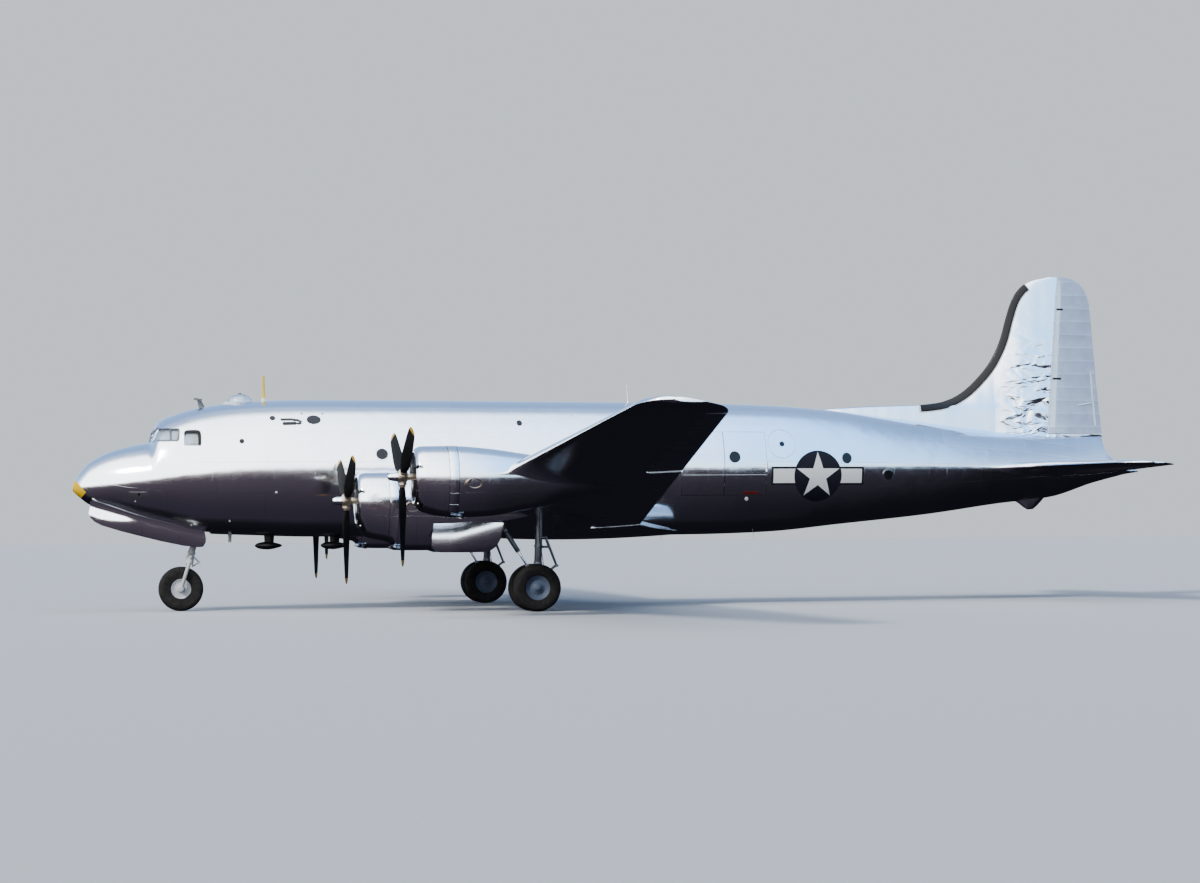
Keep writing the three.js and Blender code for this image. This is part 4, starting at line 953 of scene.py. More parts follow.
# Exhaust pipe: share of its length, radius
EXHAUST = [(0.0, 0.12), (0.5, 0.13), (0.96, 0.135), (1.0, 0.132), (0.98, 0.119), (0.62, 0.115)]
scoop_dark = painted("scoop_dark", (0.015, 0.014, 0.014), rough=0.6)
exhaust_metal = painted("exhaust_burnt_steel", (0.20, 0.15, 0.12), rough=0.5, grain=0.25, metallic=0.8,
                        scale=9)
for number, y, z, prop in ENGINES:
    inner = number in (2, 3)
    rows = INNER_NACELLE if inner else OUTER_NACELLE
    lip = prop + LIP_BEHIND_PROP
    stations = spread(0.0, 0.06, 0.01)
    for first, last, step in ((0.06, 0.2, 0.025), (0.2, 1.0, 0.06), (1.0, rows[-1][0], 0.12)):
        stations += spread(first, last, step)[1:]
    rings = [oval_ring(lip + s, y, z, r, r, r) for s, r in COWL_INSIDE]
    rings += [oval_ring(lip + s, y, z, *at_place(rows, s)) for s in stations]
    sheet = polished_sheet(f"nacelle_{number}_polished_sheet", around=(y, z, 0.7), panel=(0.78, 0.73),
                           frames=0.39, wave=0.5)
    nacelle = make_piece(f"nacelle_{number}", skin_over(rings), sheet, nodes=[f"nacelle_{number}"])
    if inner:
        well = GEAR_WELL["half_width"]
        cut(nacelle, brick(at(GEAR_WELL["front"], y - well, 1),
                           at(GEAR_WELL["rear"], y + well, GEAR_WELL["top"])))

    # Cowl flaps lie shut behind the cowl, all round but for the bottom
    flaps = []
    count = COWL_FLAPS["count"]
    for k in range(count):
        middle = COWL_FLAPS["first"] + COWL_FLAPS["sweep"] * (k + 0.5) / count
        angles = [middle + COWL_FLAPS["sweep"] / count * t for t in (-0.475, -0.25, 0, 0.25, 0.475)]
        rings = []
        for s, out in ((0.735, 0.001), (0.75, 0.003), (0.92, 0.004), (0.935, 0.001)):
            half_width, below, above = at_place(rows, s)
            ring = []
            for rise, order in ((out, angles), (-0.012, angles[::-1])):
                for angle in order:
                    high = (above if math.sin(angle) > 0 else min(below, 1.0)) + rise
                    ring.append(at(lip + s, y + (half_width + rise) * math.cos(angle),
                                   z + high * math.sin(angle)))
            rings.append(ring)
        flaps.append(skin_over(rings))
    make_piece(f"cowl_flaps_{number}", together(*flaps), sheet)
    grooves = []
    for front in (0.722, 0.936):
        rear = front + COWL_FLAPS["groove"]
        edges = ((front, -0.01), (front, 0.0015), (rear, 0.0015), (rear, -0.01))
        rings = [oval_ring(lip + s, y, z, *[size + out for size in at_place(rows, s)]) for s, out in edges]
        grooves.append(skin_over(rings, ends=False))
    make_piece(f"cowl_flap_gaps_{number}", together(*grooves), scoop_dark, slot="engine_grey")

    # Mouth of the oil cooler scoop under the cowl lip
    mouth = skin_over([oval_ring(lip + s, y, z - COOLER_DROP, w, d, d, 32) for s, w, d in COOLER_MOUTH])
    make_piece(f"oil_cooler_mouth_{number}", mouth, sheet)
    core = rod(at(lip + 0.06, y - 0.2, z - COOLER_DROP), at(lip + 0.06, y + 0.2, z - COOLER_DROP), 0.05)
    make_piece(f"oil_cooler_core_{number}", core, scoop_dark)

    # Exhaust pipe out of each outer flank, burnt brown, with a dark bore
    flank = -1 if number < 3 else 1
    tail_x = lip + 1.25
    side_y = at_place(rows, 1.25)[0]
    start = at(tail_x - 0.10, y + flank * (side_y - 0.20), z - 0.15)
    end = at(tail_x + 0.02, y + flank * (side_y + 0.04), z - 0.16)

    def pipe_ring(share, r):
        """An oval round the pipe that lies in the cowl's flank"""
        centre = start + (end - start) * share
        return [centre + r * Vector((1.3 * math.cos(a), flank * (0.25 * math.sin(a) - 0.3 * math.cos(a)),
                                     0.85 * math.sin(a))) for a in angles_round(28)]

    pipe, bore = (skin_over([pipe_ring(t, r) for t, r in rows])
                  for rows in (EXHAUST, [(0.55, 0.118), (0.70, 0.1165)]))
    make_piece(f"exhaust_pipe_{number}", pipe, exhaust_metal, slot="engine_grey")
    make_piece(f"exhaust_bore_{number}", bore, scoop_dark, slot="engine_grey")

    # Air leaves the oil cooler through a small door under the cowl flaps
    door_z = z - at_place(rows, 0.95)[1] + 0.03
    section = ((-1, 0), (-0.9, 0.012), (0.9, 0.012), (1, 0), (0.9, -0.006), (-0.9, -0.006))
    door = skin_over([[at(lip + s, y + 0.30 * c, door_z + drop + rise) for c, rise in section]
                      for s, drop in ((0.80, 0.03), (0.98, -0.005), (1.10, -0.05))])
    make_piece(f"oil_cooler_door_{number}", door, sheet)

# ---------------------------------------------------------------- Engines
# Two-row radial engines. Finned steel cylinders stand round a grey cast crankcase,
# with a domed gear case in front.
ENGINE = {"rows": 2, "cylinders": 7, "first_row": 0.42, "row_gap": 0.30}
# Gear case and crankcase: station from the cowl lip, radius
CASE = [
    (0.17, 0.0), (0.17, 0.10), (0.18, 0.125), (0.20, 0.165), (0.235, 0.225), (0.25, 0.285), (0.27, 0.30),
    (0.275, 0.325), (0.30, 0.33), (0.58, 0.33), (0.60, 0.36), (0.95, 0.37), (1.0, 0.5), (1.19, 0.5),
    (1.195, 0.0),
]
case_grey = painted("crankcase_grey", (0.26, 0.27, 0.28), rough=0.42, grain=0.1, metallic=0.6, scale=18)
fin_steel = painted("cylinder_fin_steel", (0.12, 0.12, 0.125), rough=0.4, grain=0.12, metallic=0.8, scale=40)
rod_black = painted("pushrod_black", (0.02, 0.02, 0.02), rough=0.35, grain=0.1)


def turned_shape(rows, segments=32, closed=False):
    """A shape turned about X from (station, radius) rows: from line to line, or a closed profile"""
    bm = bmesh.new()
    verts = [bm.verts.new((x, 0, r)) for x, r in rows]
    edges = [bm.edges.new(pair) for pair in zip(verts, verts[1:] + verts[:1] * closed)]
    bmesh.ops.spin(bm, geom=verts + edges, cent=(0, 0, 0), axis=(1, 0, 0), angle=2 * math.pi, steps=segments,
                   use_merge=True)
    bmesh.ops.remove_doubles(bm, verts=bm.verts, dist=0.0001)
    bmesh.ops.recalc_face_normals(bm, faces=bm.faces)
    return bm


def put(bm, matrix):
    """A shape moved to its place"""
    bmesh.ops.transform(bm, matrix=matrix, verts=bm.verts)
    return bm


def copies(make, matrices):
    """One shape repeated at several places"""
    mesh = bpy.data.meshes.new("part")
    shape = make()
    shape.to_mesh(mesh)
    shape.free()
    whole = bmesh.new()
    for matrix in matrices:
        mesh.transform(matrix)
        whole.from_mesh(mesh)
        mesh.transform(matrix.inverted())
    bpy.data.meshes.remove(mesh)
    return whole


def cylinder_barrel():
    """A finned barrel along +X, from the crankcase out to its head"""
    rows = [(0.20, 0.0), (0.20, 0.085)]
    x = 0.24
    while x < 0.53:
        rows += [(x, 0.082), (x + 0.002, 0.104), (x + 0.008, 0.104), (x + 0.010, 0.082)]
        x += 0.024
    rows += [(0.545, 0.098), (0.575, 0.088), (0.585, 0.05), (0.585, 0.0)]
    return turned_shape(rows, 20)


for number, y, z, prop in ENGINES:
    middle = Matrix.Translation(at(prop + LIP_BEHIND_PROP, y, z))
    make_piece(f"engine_{number}", put(turned_shape(CASE, 40), middle), case_grey, slot="engine_grey",
               nodes=[f"engine_{number}"])
    places, rods = [], []
    for row in range(ENGINE["rows"]):
        for k in range(ENGINE["cylinders"]):
            angle = 2 * math.pi * (k + row * 0.5) / ENGINE["cylinders"]
            out = Matrix.Rotation(angle, 4, "X") @ Matrix.Rotation(radians(-90), 4, "Y")
            places.append(middle @ Matrix.Translation((ENGINE["first_row"] + ENGINE["row_gap"] * row, 0, 0))
                          @ out)
            if row == 0:
                rods += [(angle, -0.045), (angle, 0.045)]
    make_piece(f"engine_cylinders_{number}", copies(cylinder_barrel, places), fin_steel, slot="engine_grey")
    tubes = []
    for angle, shift in rods:
        spin = middle @ Matrix.Rotation(angle, 4, "X")
        tubes.append(rod(spin @ Vector((0.275, shift * 0.6, 0.26)), spin @ Vector((0.345, shift, 0.545)),
                         0.012, segments=8, caps=False))
    make_piece(f"engine_pushrods_{number}", together(*tubes), rod_black, slot="engine_grey")

# ---------------------------------------------------------------- Propellers
# Three black duralumin blades with yellow tips turn in a steel hub. A polished
# dome in front holds the pitch gear.
PROP_RADIUS = 1.994
# share of the radius, chord, thickness, pitch in degrees
BLADE = [
    (0.05, 0.13, 0.13, 60), (0.10, 0.135, 0.128, 57), (0.15, 0.17, 0.11, 55), (0.22, 0.235, 0.082, 50),
    (0.3, 0.272, 0.062, 46), (0.45, 0.298, 0.045, 39), (0.6, 0.305, 0.034, 32), (0.75, 0.298, 0.027, 28),
    (0.88, 0.275, 0.022, 25), (0.94, 0.238, 0.018, 24), (0.975, 0.18, 0.013, 23), (0.993, 0.11, 0.009, 22),
    (1.0, 0.05, 0.007, 22),
]
TIP_FROM = 0.93
# Cuff, hub and dome: place along the blade or the shaft, radius
CUFF = [
    (0.03, 0.0), (0.03, 0.085), (0.10, 0.092), (0.135, 0.088), (0.15, 0.10), (0.175, 0.10), (0.19, 0.078),
    (0.235, 0.07), (0.24, 0.0),
]
HUB = [
    (-0.11, 0.0), (-0.11, 0.10), (-0.085, 0.125), (-0.04, 0.145), (0.05, 0.145), (0.09, 0.12), (0.12, 0.08),
    (0.47, 0.07), (0.47, 0.0),
]
PITCH_DOME = [
    (-0.33, 0.0), (-0.33, 0.03), (-0.322, 0.052), (-0.30, 0.072), (-0.25, 0.088), (-0.18, 0.096),
    (-0.125, 0.098), (-0.12, 0.106), (-0.095, 0.106), (-0.095, 0.0),
]
blade_black = painted("blade_black_paint", (0.013, 0.013, 0.014), rough=0.62, grain=0.1, scale=14)
blade_black.node_tree.nodes["Principled BSDF"].inputs["Specular IOR Level"].default_value = 0.03
tip_yellow = painted("blade_tip_yellow", (0.75, 0.42, 0.03), rough=0.42, grain=0.06)
hub_steel = painted("hub_bare_steel", (0.45, 0.36, 0.27), rough=0.3, grain=0.15, metallic=0.9, scale=16)
dome_metal = painted("dome_polished_metal", (0.85, 0.86, 0.87), rough=0.12, grain=0.04, metallic=1.0,
                     scale=20)


def blade_ring(share, chord, thick, pitch):
    """Points around a blade at a share of its length"""
    turn = -radians(pitch)
    ring = []
    for angle in angles_round(28):
        along = chord / 2 * math.cos(angle)
        across = thick / 2 * math.sin(angle) * (1 if share < 0.12 else 0.82 + 0.3 * math.cos(angle))
        ring.append(Vector((along * math.sin(turn) + across * math.cos(turn),
                            along * math.cos(turn) - across * math.sin(turn), share * PROP_RADIUS)))
    return ring


def blade_part(first, last):
    """A blade between two shares of its length"""
    shares = [row[0] for row in BLADE if first < row[0] < last]
    dense = sorted(set([first, last] + shares + spread(first, last, 0.04)))
    return skin_over([blade_ring(s, *at_place(BLADE, s)) for s in dense])


for number, y, z, prop in ENGINES:
    middle = Matrix.Translation(at(prop, y, z))
    body = f"propeller_{number}"
    turns = [Matrix.Rotation(math.pi + k * 2 * math.pi / 3, 4, "X") for k in range(3)]
    places = [middle @ turn for turn in turns]
    make_piece(body, copies(lambda: blade_part(0.08, TIP_FROM), places), blade_black, body, "black_blade",
               [body], sharp=45)
    make_piece(f"{body}_tips", copies(lambda: blade_part(TIP_FROM, 1.0), places), tip_yellow, body,
               "black_blade", sharp=45)
    cuffs = copies(lambda: turned_shape(CUFF, 28), [place @ Matrix.Rotation(radians(-90), 4, "Y")
                                                    for place in places])
    make_piece(f"{body}_hub", together(put(turned_shape(HUB, 36), middle), cuffs), hub_steel, body,
               "black_blade")
    make_piece(f"{body}_dome", put(turned_shape(PITCH_DOME, 40), middle), dome_metal, body, "black_blade")

# ---------------------------------------------------------------- Main landing gear
# Each leg is an oil-and-air strut with a bright inner tube, torque links behind
# and a drag brace ahead. It carries two wheels on one axle, which turn together.
MAIN = {"x": 11.01, "y": 3.774, "tyre": 0.575, "width": 0.38, "rim": 0.30, "spacing": 0.36}
# Silver leg paint darkened to a dark grey: painted shade of the wing over the gear. The wheel bolts use it too
leg_grey_painted_shade = painted("leg_silver_paint", (0.20, 0.21, 0.23), rough=0.38, grain=0.12, metallic=0.4, scale=24)
strut_chrome = painted("strut_bright_chrome", (0.80, 0.81, 0.83), rough=0.1, grain=0.03, metallic=1.0,
                       scale=20)
hose_black = painted("brake_hose_black", (0.02, 0.02, 0.021), rough=0.55)
# Hub paint darker than its own tone: partly the real blue-grey paint, partly painted shade of the wing above the
# wheels
hub_blue_painted_shade = painted("wheel_hub_paint", (0.13, 0.16, 0.23), rough=0.4, grain=0.12, scale=26)
well_green = painted("gear_well_primer", (0.16, 0.20, 0.08), rough=0.6, grain=0.15, scale=8)


def tyre_rubber(name):
    """Black rubber, dusty grey on the tread and faintly scuffed on its sides"""
    material, tree, shader = fresh_material(name)
    shader.inputs["Specular IOR Level"].default_value = 0.12
    spot = add_node(tree, "ShaderNodeTexCoord").outputs["Object"]
    dust = noise_of(tree, spot, 7.0, 6.0, 0.65)
    fine = noise_of(tree, spot, 90.0, 3.0)
    tree.links.new(ramp_of(tree, dust, [(0.35, (0.013, 0.012, 0.012)), (0.62, (0.03, 0.027, 0.025)),
                                        (0.85, (0.07, 0.06, 0.05))]), shader.inputs["Base Color"])
    tree.links.new(math_of(tree, "MULTIPLY_ADD", fine, 0.25, 0.62), shader.inputs["Roughness"])
    add_relief(tree, shader, 0.0008, fine)
    return material


rubber = tyre_rubber("tyre_rubber")
ACROSS = Matrix.Rotation(radians(90), 4, "Z")


def tyre_profile(radius, width, rim, grooves=4):
    """Half-round sides, a nearly flat tread with grooves, and beads on the rim"""
    side = [
        (-0.36, rim + 0.001), (-0.43, rim + 0.02), (-0.485, radius * 0.68), (-0.5, radius * 0.78),
        (-0.49, radius * 0.86), (-0.455, radius * 0.925), (-0.40, radius * 0.962), (-0.33, radius * 0.985),
    ]
    tread = []
    for k in range(grooves):
        s = -0.25 + 0.5 * (k + 0.5) / grooves
        high = radius * (1 - 0.06 * abs(s) ** 1.6)
        tread += [(s - 0.024, high), (s - 0.018, high - 0.009), (s + 0.018, high - 0.009), (s + 0.024, high)]
    whole = side + tread + [(-s, r) for s, r in side[::-1]]
    return [(s * width, r) for s, r in whole]


# Round bars of a leg. Station, height and place outwards of each end, radius and other
# radius, segments; a row with True at its end is made on both sides of the leg
LEG_BARS = [
    (11.103, 1.16, 0, 11.15, 2.44, 0, 0.092, None, 40, False),
    (11.103, 1.13, 0, 11.105, 1.20, 0, 0.108, None, 40, False),
    (11.115, 1.55, 0, 11.117, 1.61, 0, 0.106, None, 40, False),
    (11.125, 1.98, 0, 11.128, 2.05, 0, 0.104, None, 40, False),
    (MAIN["x"], MAIN["tyre"], -0.12, MAIN["x"], MAIN["tyre"], 0.12, 0.094, None, 40, False),
    (MAIN["x"], MAIN["tyre"], 0, 11.045, 0.80, 0, 0.085, 0.075, 32, False),
    # drag brace with its actuator
    (10.022, 2.38, 0, 10.60, 1.48, 0, 0.045, None, 24, False),
    (10.34, 1.885, 0, 10.62, 1.448, 0, 0.062, None, 28, False),
    (10.838, 1.103, 0, 11.08, 0.90, 0, 0.036, None, 20, False),
    (10.84, 1.10, -0.07, 10.84, 1.10, 0.07, 0.045, None, 24, False),
    (11.06, 0.72, -0.06, 11.06, 0.72, 0.06, 0.045, None, 24, False),
    # side stays in the well
    (10.29, 2.39, 0.26, 10.29, 1.962, 0, 0.032, None, 18, True),
    (10.29, 1.962, -0.10, 10.29, 1.962, 0.10, 0.05, None, 24, False),
    # torque links and their lugs
    (11.30, 1.79, 0.07, 11.57, 1.09, 0.02, 0.026, None, 16, True),
    (11.12, 1.79, 0.07, 11.32, 1.79, 0.07, 0.03, None, 16, True),
    (11.105, 1.56, 0, 11.40, 1.56, 0, 0.03, None, 16, False),
    (11.57, 1.10, -0.07, 11.57, 1.10, 0.07, 0.036, None, 24, False),
    (11.57, 1.12, 0.045, 11.06, 0.72, 0.025, 0.026, None, 16, True),
    (11.44, 1.43, -0.055, 11.44, 1.43, 0.055, 0.022, None, 16, False),
    (11.33, 0.93, -0.05, 11.33, 0.93, 0.05, 0.022, None, 16, False),
]
BRIGHT_BARS = [(11.02, 0.66, 0, 11.104, 1.15, 0, 0.064, None, 40, False),
               (10.60, 1.48, 0, 10.845, 1.095, 0, 0.030, None, 24, False)]
BRAKE_DRUMS = [(MAIN["x"], MAIN["tyre"], 0.125, MAIN["x"], MAIN["tyre"], 0.20, 0.15, None, 40, True)]
# station, height, place outwards
BRAKE_LINE = [
    (11.13, 2.3, 0.10), (11.13, 1.75, 0.11), (11.19, 1.35, 0.115), (11.23, 1.05, 0.11), (11.15, 0.80, 0.13),
    (11.06, 0.66, 0.14),
]


def bars(rows, y):
    """Round bars from a table, about a line y to starboard"""
    return [rod(at(x0, y + s * out0, z0), at(x1, y + s * out1, z1), radius, other, segments)
            for x0, z0, out0, x1, z1, out1, radius, other, segments, both in rows
            for s in ((-1, 1) if both else (1,))]


# Cast wheel, bearing cap to rim flange: share of its half width, share of its rim radius
WHEEL_SIDE = [
    (1.02, 0.0), (1.02, 0.12), (0.97, 0.2), (0.78, 0.24), (0.70, 0.30), (0.57, 0.40), (0.48, 0.62),
    (0.57, 0.72), (0.66, 0.84), (0.80, 0.92), (0.86, 0.99), (0.80, 0.999), (0.74, 0.95),
]


def cast_wheel(rim, width):
    """A cast wheel with a dished web on both sides"""
    front = [(-width / 2 * s, rim * r) for s, r in WHEEL_SIDE]
    return turned_shape(front + [(-s, r) for s, r in front[::-1]], 72)


def bolts(ring, size, out, count, y_side):
    """Bolt heads round a wheel, on one of its sides"""
    spots = [(ring * math.cos(a), ring * math.sin(a)) for a in angles_round(count)]
    return together(*[rod((out * y_side, *spot), ((out + 0.012) * y_side, *spot), size, segments=6)
                      for spot in spots])


for word, side in SIDES:
    y = side * MAIN["y"]
    axle = at(MAIN["x"], y, MAIN["tyre"])
    body = f"main_wheels_{word}"
    wheels, heads, holes = [], [], []
    for s in (-1, 1):
        there = Matrix.Translation(axle + Vector((0, s * MAIN["spacing"], 0))) @ ACROSS
        wheels.append(put(cast_wheel(MAIN["rim"], MAIN["width"] * 0.8), there))
        for face in (-1, 1):
            heads.append(put(bolts(0.205, 0.008, 0.068, 18, face), there))
            # The web's holes are near-black studs: painted shade in place of real openings
            holes.append(put(bolts(0.148, 0.021, 0.050, 9, face), there))
        place = "outer" if s == side else "inner"
        tyre = put(turned_shape(tyre_profile(MAIN["tyre"], MAIN["width"], MAIN["rim"]), 96, True), there)
        make_piece(f"main_tyre_{word}_{place}", tyre, rubber, body, "tyre_rubber",
                   [f"main_tyre_{word}_{place}"])
    shaft = rod(axle - Vector((0, MAIN["spacing"], 0)), axle + Vector((0, MAIN["spacing"], 0)), 0.045,
                segments=28)
    make_piece(f"main_hub_{word}", together(shaft, *wheels), hub_blue_painted_shade, body, "hub_paint",
               [f"main_hub_{word}"])
    make_piece(f"main_hub_{word}_bolts", together(*heads), leg_grey_painted_shade, body, "hub_paint")
    make_piece(f"main_hub_{word}_web_holes", together(*holes), scoop_dark, body, "hub_paint")

    make_piece(f"main_leg_{word}", together(*bars(LEG_BARS, y)), leg_grey_painted_shade, slot="leg_paint",
               nodes=[f"main_leg_{word}"])
    make_piece(f"main_leg_{word}_bright_tube", together(*bars(BRIGHT_BARS, y)), strut_chrome,
               slot="leg_paint")
    hoses = []
    for s in (-1, 1):
        path = [at(x, y + s * off, z) for x, z, off in BRAKE_LINE]
        hoses += [rod(a, b, 0.009, segments=10, caps=False) for a, b in zip(path, path[1:])]
    make_piece(f"main_leg_{word}_brake_lines", together(*hoses), hose_black, slot="leg_paint")
    make_piece(f"main_leg_{word}_brake_plates", together(*bars(BRAKE_DRUMS, y)), exhaust_metal,
               slot="leg_paint")

# ---------------------------------------------------------------- Main gear doors
# Two long panels per nacelle, hinged along its flanks. Each is a polished outer
# sheet over a pressed inner sheet, and stands open while the gear is down.
# station, height
MAIN_DOOR = [
    (8.47, 2.19), (8.42, 1.90), (8.40, 1.62), (8.46, 1.50), (8.62, 1.45), (9.30, 1.445), (9.80, 1.45),
    (9.98, 1.58), (10.08, 1.76), (10.14, 2.15),
]
MAIN_DOOR_WALL = 0.022
door_sheet = polished_sheet("gear_door_polished_sheet", panel=(0.9, 0.5), frames=0.3, wave=0.9)
for word, side in SIDES:
    for place, s in (("inner", -side), ("outer", side)):
        bm = flat_shape(MAIN_DOOR, 10)
        base = side * MAIN["y"] + s * (GEAR_WELL["half_width"] - 0.010)
        for vert in bm.verts:
            x, z = vert.co.x - NOSE_TIP, vert.co.z
            belt = 1.80 + 0.30 * max(0.0, (x - 9.0) / 1.1)
            vert.co.y = base + s * (0.062 - 0.30 * (z - belt) ** 2 - 0.5 * max(0.0, 1.60 - z) ** 1.5)
        bmesh.ops.recalc_face_normals(bm, faces=bm.faces)
        turn_to_side(bm, s)
        name = f"main_door_{word}_{place}"
        give_wall(make_piece(name, bm, door_sheet, nodes=[name]), MAIN_DOOR_WALL)

# ---------------------------------------------------------------- Nose landing gear
# A white-painted strut leans back in a narrow well. Below a steering collar its
# fork turns, and holds one wheel on a fixed axle.
NOSE = {"x": 2.672, "tyre": 0.56, "width": 0.34, "rim": 0.25, "lean": radians(14), "line": 2.712}
NOSE_WELL = {"front": 0.45, "rear": 3.40, "half_width": 0.37, "top": 2.76}
leg_white = painted("nose_leg_white_paint", (0.70, 0.71, 0.70), rough=0.36, grain=0.06, scale=18)
hub_white = painted("nose_wheel_white_disc", (0.72, 0.73, 0.74), rough=0.35, grain=0.05, scale=18)


def on_nose_leg(z, y=0.0):
    """A point on the leaning line of the nose leg at a height"""
    return at(NOSE["line"] + (z - NOSE["tyre"]) * math.tan(NOSE["lean"]), y, z)


half = NOSE_WELL["half_width"]
liner = make_piece("nose_gear_well", brick(at(0.43, -half - 0.02, 1.5),
                                           at(3.42, half + 0.02, NOSE_WELL["top"] + 0.02)), well_green)
for piece in (body_parts["fuselage_nose"], liner):
    cut(piece, brick(at(NOSE_WELL["front"], -half, 1), at(NOSE_WELL["rear"], half, NOSE_WELL["top"])))
cut(liner, skin_over([body_ring(x, 0.004) for x in spread(0.30, 3.79, 0.12)]), "INTERSECT")
drag = at(1.90, 0, 2.50)
frame_rods = [
    rod(on_nose_leg(1.42), on_nose_leg(2.62), 0.083, segments=36),
    rod(on_nose_leg(1.42), on_nose_leg(1.50), 0.098, segments=36),
    rod(on_nose_leg(1.86), on_nose_leg(1.92), 0.096, segments=36),
    rod(drag + Vector((0, -0.10, 0)), at(2.34, -0.05, 2.15), 0.030, segments=20),
    rod(drag + Vector((0, 0.10, 0)), at(2.34, 0.05, 2.15), 0.030, segments=20),
    rod(at(2.34, -0.08, 2.15), at(2.34, 0.08, 2.15), 0.045, segments=24),
    rod(at(2.34, -0.03, 2.15), on_nose_leg(1.65, -0.03), 0.026, segments=18),
    rod(at(2.34, 0.03, 2.15), on_nose_leg(1.65, 0.03), 0.026, segments=18),
    rod(at(1.90, -half + 0.001, 2.50), at(1.90, half - 0.001, 2.50), 0.05, segments=28),
    rod(on_nose_leg(2.60, -half + 0.001), on_nose_leg(2.60, half - 0.001), 0.055, segments=28),
]
make_piece("nose_leg", together(*frame_rods), leg_white, slot="leg_paint", nodes=["nose_leg"])
arms = [
    rod(on_nose_leg(1.18), on_nose_leg(1.412), 0.108, 0.094, 36),
    rod(on_nose_leg(1.30), on_nose_leg(1.52), 0.049, segments=28),
    rod(on_nose_leg(1.23, -0.262), on_nose_leg(1.23, 0.262), 0.06, segments=28),
    rod(at(NOSE["x"], -0.272, NOSE["tyre"]), at(NOSE["x"], 0.272, NOSE["tyre"]), 0.041, segments=28),
]
for s in (-1, 1):
    arms += [rod(on_nose_leg(1.25, s * 0.235), at(NOSE["x"], s * 0.235, NOSE["tyre"]), 0.048, 0.042, 24),
             rod(at(NOSE["x"], s * 0.205, NOSE["tyre"]), at(NOSE["x"], s * 0.282, NOSE["tyre"]), 0.06,
                 segments=28),
             rod(on_nose_leg(1.36, s * 0.10), on_nose_leg(1.36, s * 0.17), 0.032, segments=20)]
# torque links and tow lugs behind the collar
for s in (-1, 1):
    arms += [rod(at(2.99, s * 0.035, 1.36), at(3.13, s * 0.03, 1.22), 0.02, segments=14),
             rod(at(3.13, s * 0.03, 1.22), at(2.95, s * 0.04, 1.12), 0.02, segments=14)]
arms.append(rod(at(3.13, -0.055, 1.22), at(3.13, 0.055, 1.22), 0.026, segments=20))
make_piece("nose_fork", together(*arms), leg_white, "nose_fork", "leg_paint", ["nose_fork"])
there = Matrix.Translation(at(NOSE["x"], 0, NOSE["tyre"])) @ ACROSS
disc = [
    (-0.152, 0.046), (-0.152, 0.075), (-0.135, 0.085), (-0.118, 0.095), (-0.105, 0.15), (-0.112, 0.195),
    (-0.122, 0.215), (-0.135, 0.232), (-0.138, 0.247), (-0.12, 0.2495),
]
hub = put(turned_shape(disc + [(-s, r) for s, r in disc[::-1]], 72, True), there)
make_piece("nose_hub", hub, hub_white, "nose_wheel", "hub_paint", ["nose_hub"])
studs = together(*[put(bolts(0.175, 0.008, 0.106, 10, face), there) for face in (-1, 1)])
make_piece("nose_hub_bolts", studs, leg_grey_painted_shade, "nose_wheel", "hub_paint")
tyre = put(turned_shape(tyre_profile(NOSE["tyre"], NOSE["width"], NOSE["rim"], 3), 96, True), there)
make_piece("nose_tyre", tyre, rubber, "nose_wheel", "tyre_rubber", ["nose_tyre"])

# Nose gear doors: two long convex panels that hang open beside the well. Station, height
NOSE_DOOR_WALL = 0.016
NOSE_DOOR = [
    (0.395, 2.47), (0.44, 2.37), (0.55, 2.26), (0.72, 2.17), (1.20, 2.02), (1.65, 1.90), (2.20, 1.76),
    (2.76, 1.64), (3.10, 1.605), (3.21, 1.615), (3.27, 1.72), (3.28, 1.82), (3.24, 2.005), (2.60, 2.145),
    (2.10, 2.28), (1.60, 2.415), (0.92, 2.655), (0.62, 2.76), (0.47, 2.81),
]
# station, height of the widest line, height where the flange starts
DOOR_CURVE = [
    (0.35, 2.47, 2.69), (0.50, 2.41, 2.63), (0.71, 2.339, 2.565), (1.03, 2.296, 2.47), (1.32, 2.286, 2.383),
    (1.56, 2.30, 2.31), (2.00, 2.20, 2.201), (3.30, 1.88, 1.881),
]
for word, s in SIDES:
    bm = flat_shape(NOSE_DOOR, 8)
    for vert in bm.verts:
        x, z = vert.co.x - NOSE_TIP, vert.co.z
        belt, line = at_place(DOOR_CURVE, x)
        under, over = min(0.0, z - belt), max(0.0, z - belt)
        vert.co.y = s * (0.45 + 0.05 * under - 0.5 * under ** 2 - 0.14 * min(over, line - belt)
                         + 0.25 * max(0.0, z - line))
    bmesh.ops.recalc_face_normals(bm, faces=bm.faces)
    turn_to_side(bm, s)
    give_wall(make_piece(f"nose_door_{word}", bm, door_sheet, nodes=[f"nose_door_{word}"]), NOSE_DOOR_WALL, 0)

# ---------------------------------------------------------------- Cockpit windows
# Clear panes are clamped in metal frames cut into the nose skin: a split
# windscreen, a slanted corner pane, a narrow one and a sliding side window.
# Windscreen: first and last station, inner and outer edge, bottom and top. The other
# panes are outlines of (station, height)
WINDSCREEN = (1.70, 2.30, 0.04, 0.60, 4.33, 4.60)
CORNER_PANE = [(1.905, 4.262), (2.355, 4.262), (2.355, 4.535), (2.03, 4.535), (1.965, 4.44)]
NARROW_PANE = [(2.40, 4.268), (2.52, 4.262), (2.56, 4.32), (2.578, 4.50), (2.55, 4.526), (2.40, 4.526)]
SIDE_WINDOW = [
    (2.71, 4.15), (2.73, 4.13), (3.07, 4.13), (3.09, 4.15), (3.097, 4.42), (3.07, 4.47), (3.01, 4.487),
    (2.80, 4.487), (2.74, 4.47), (2.715, 4.43),
]


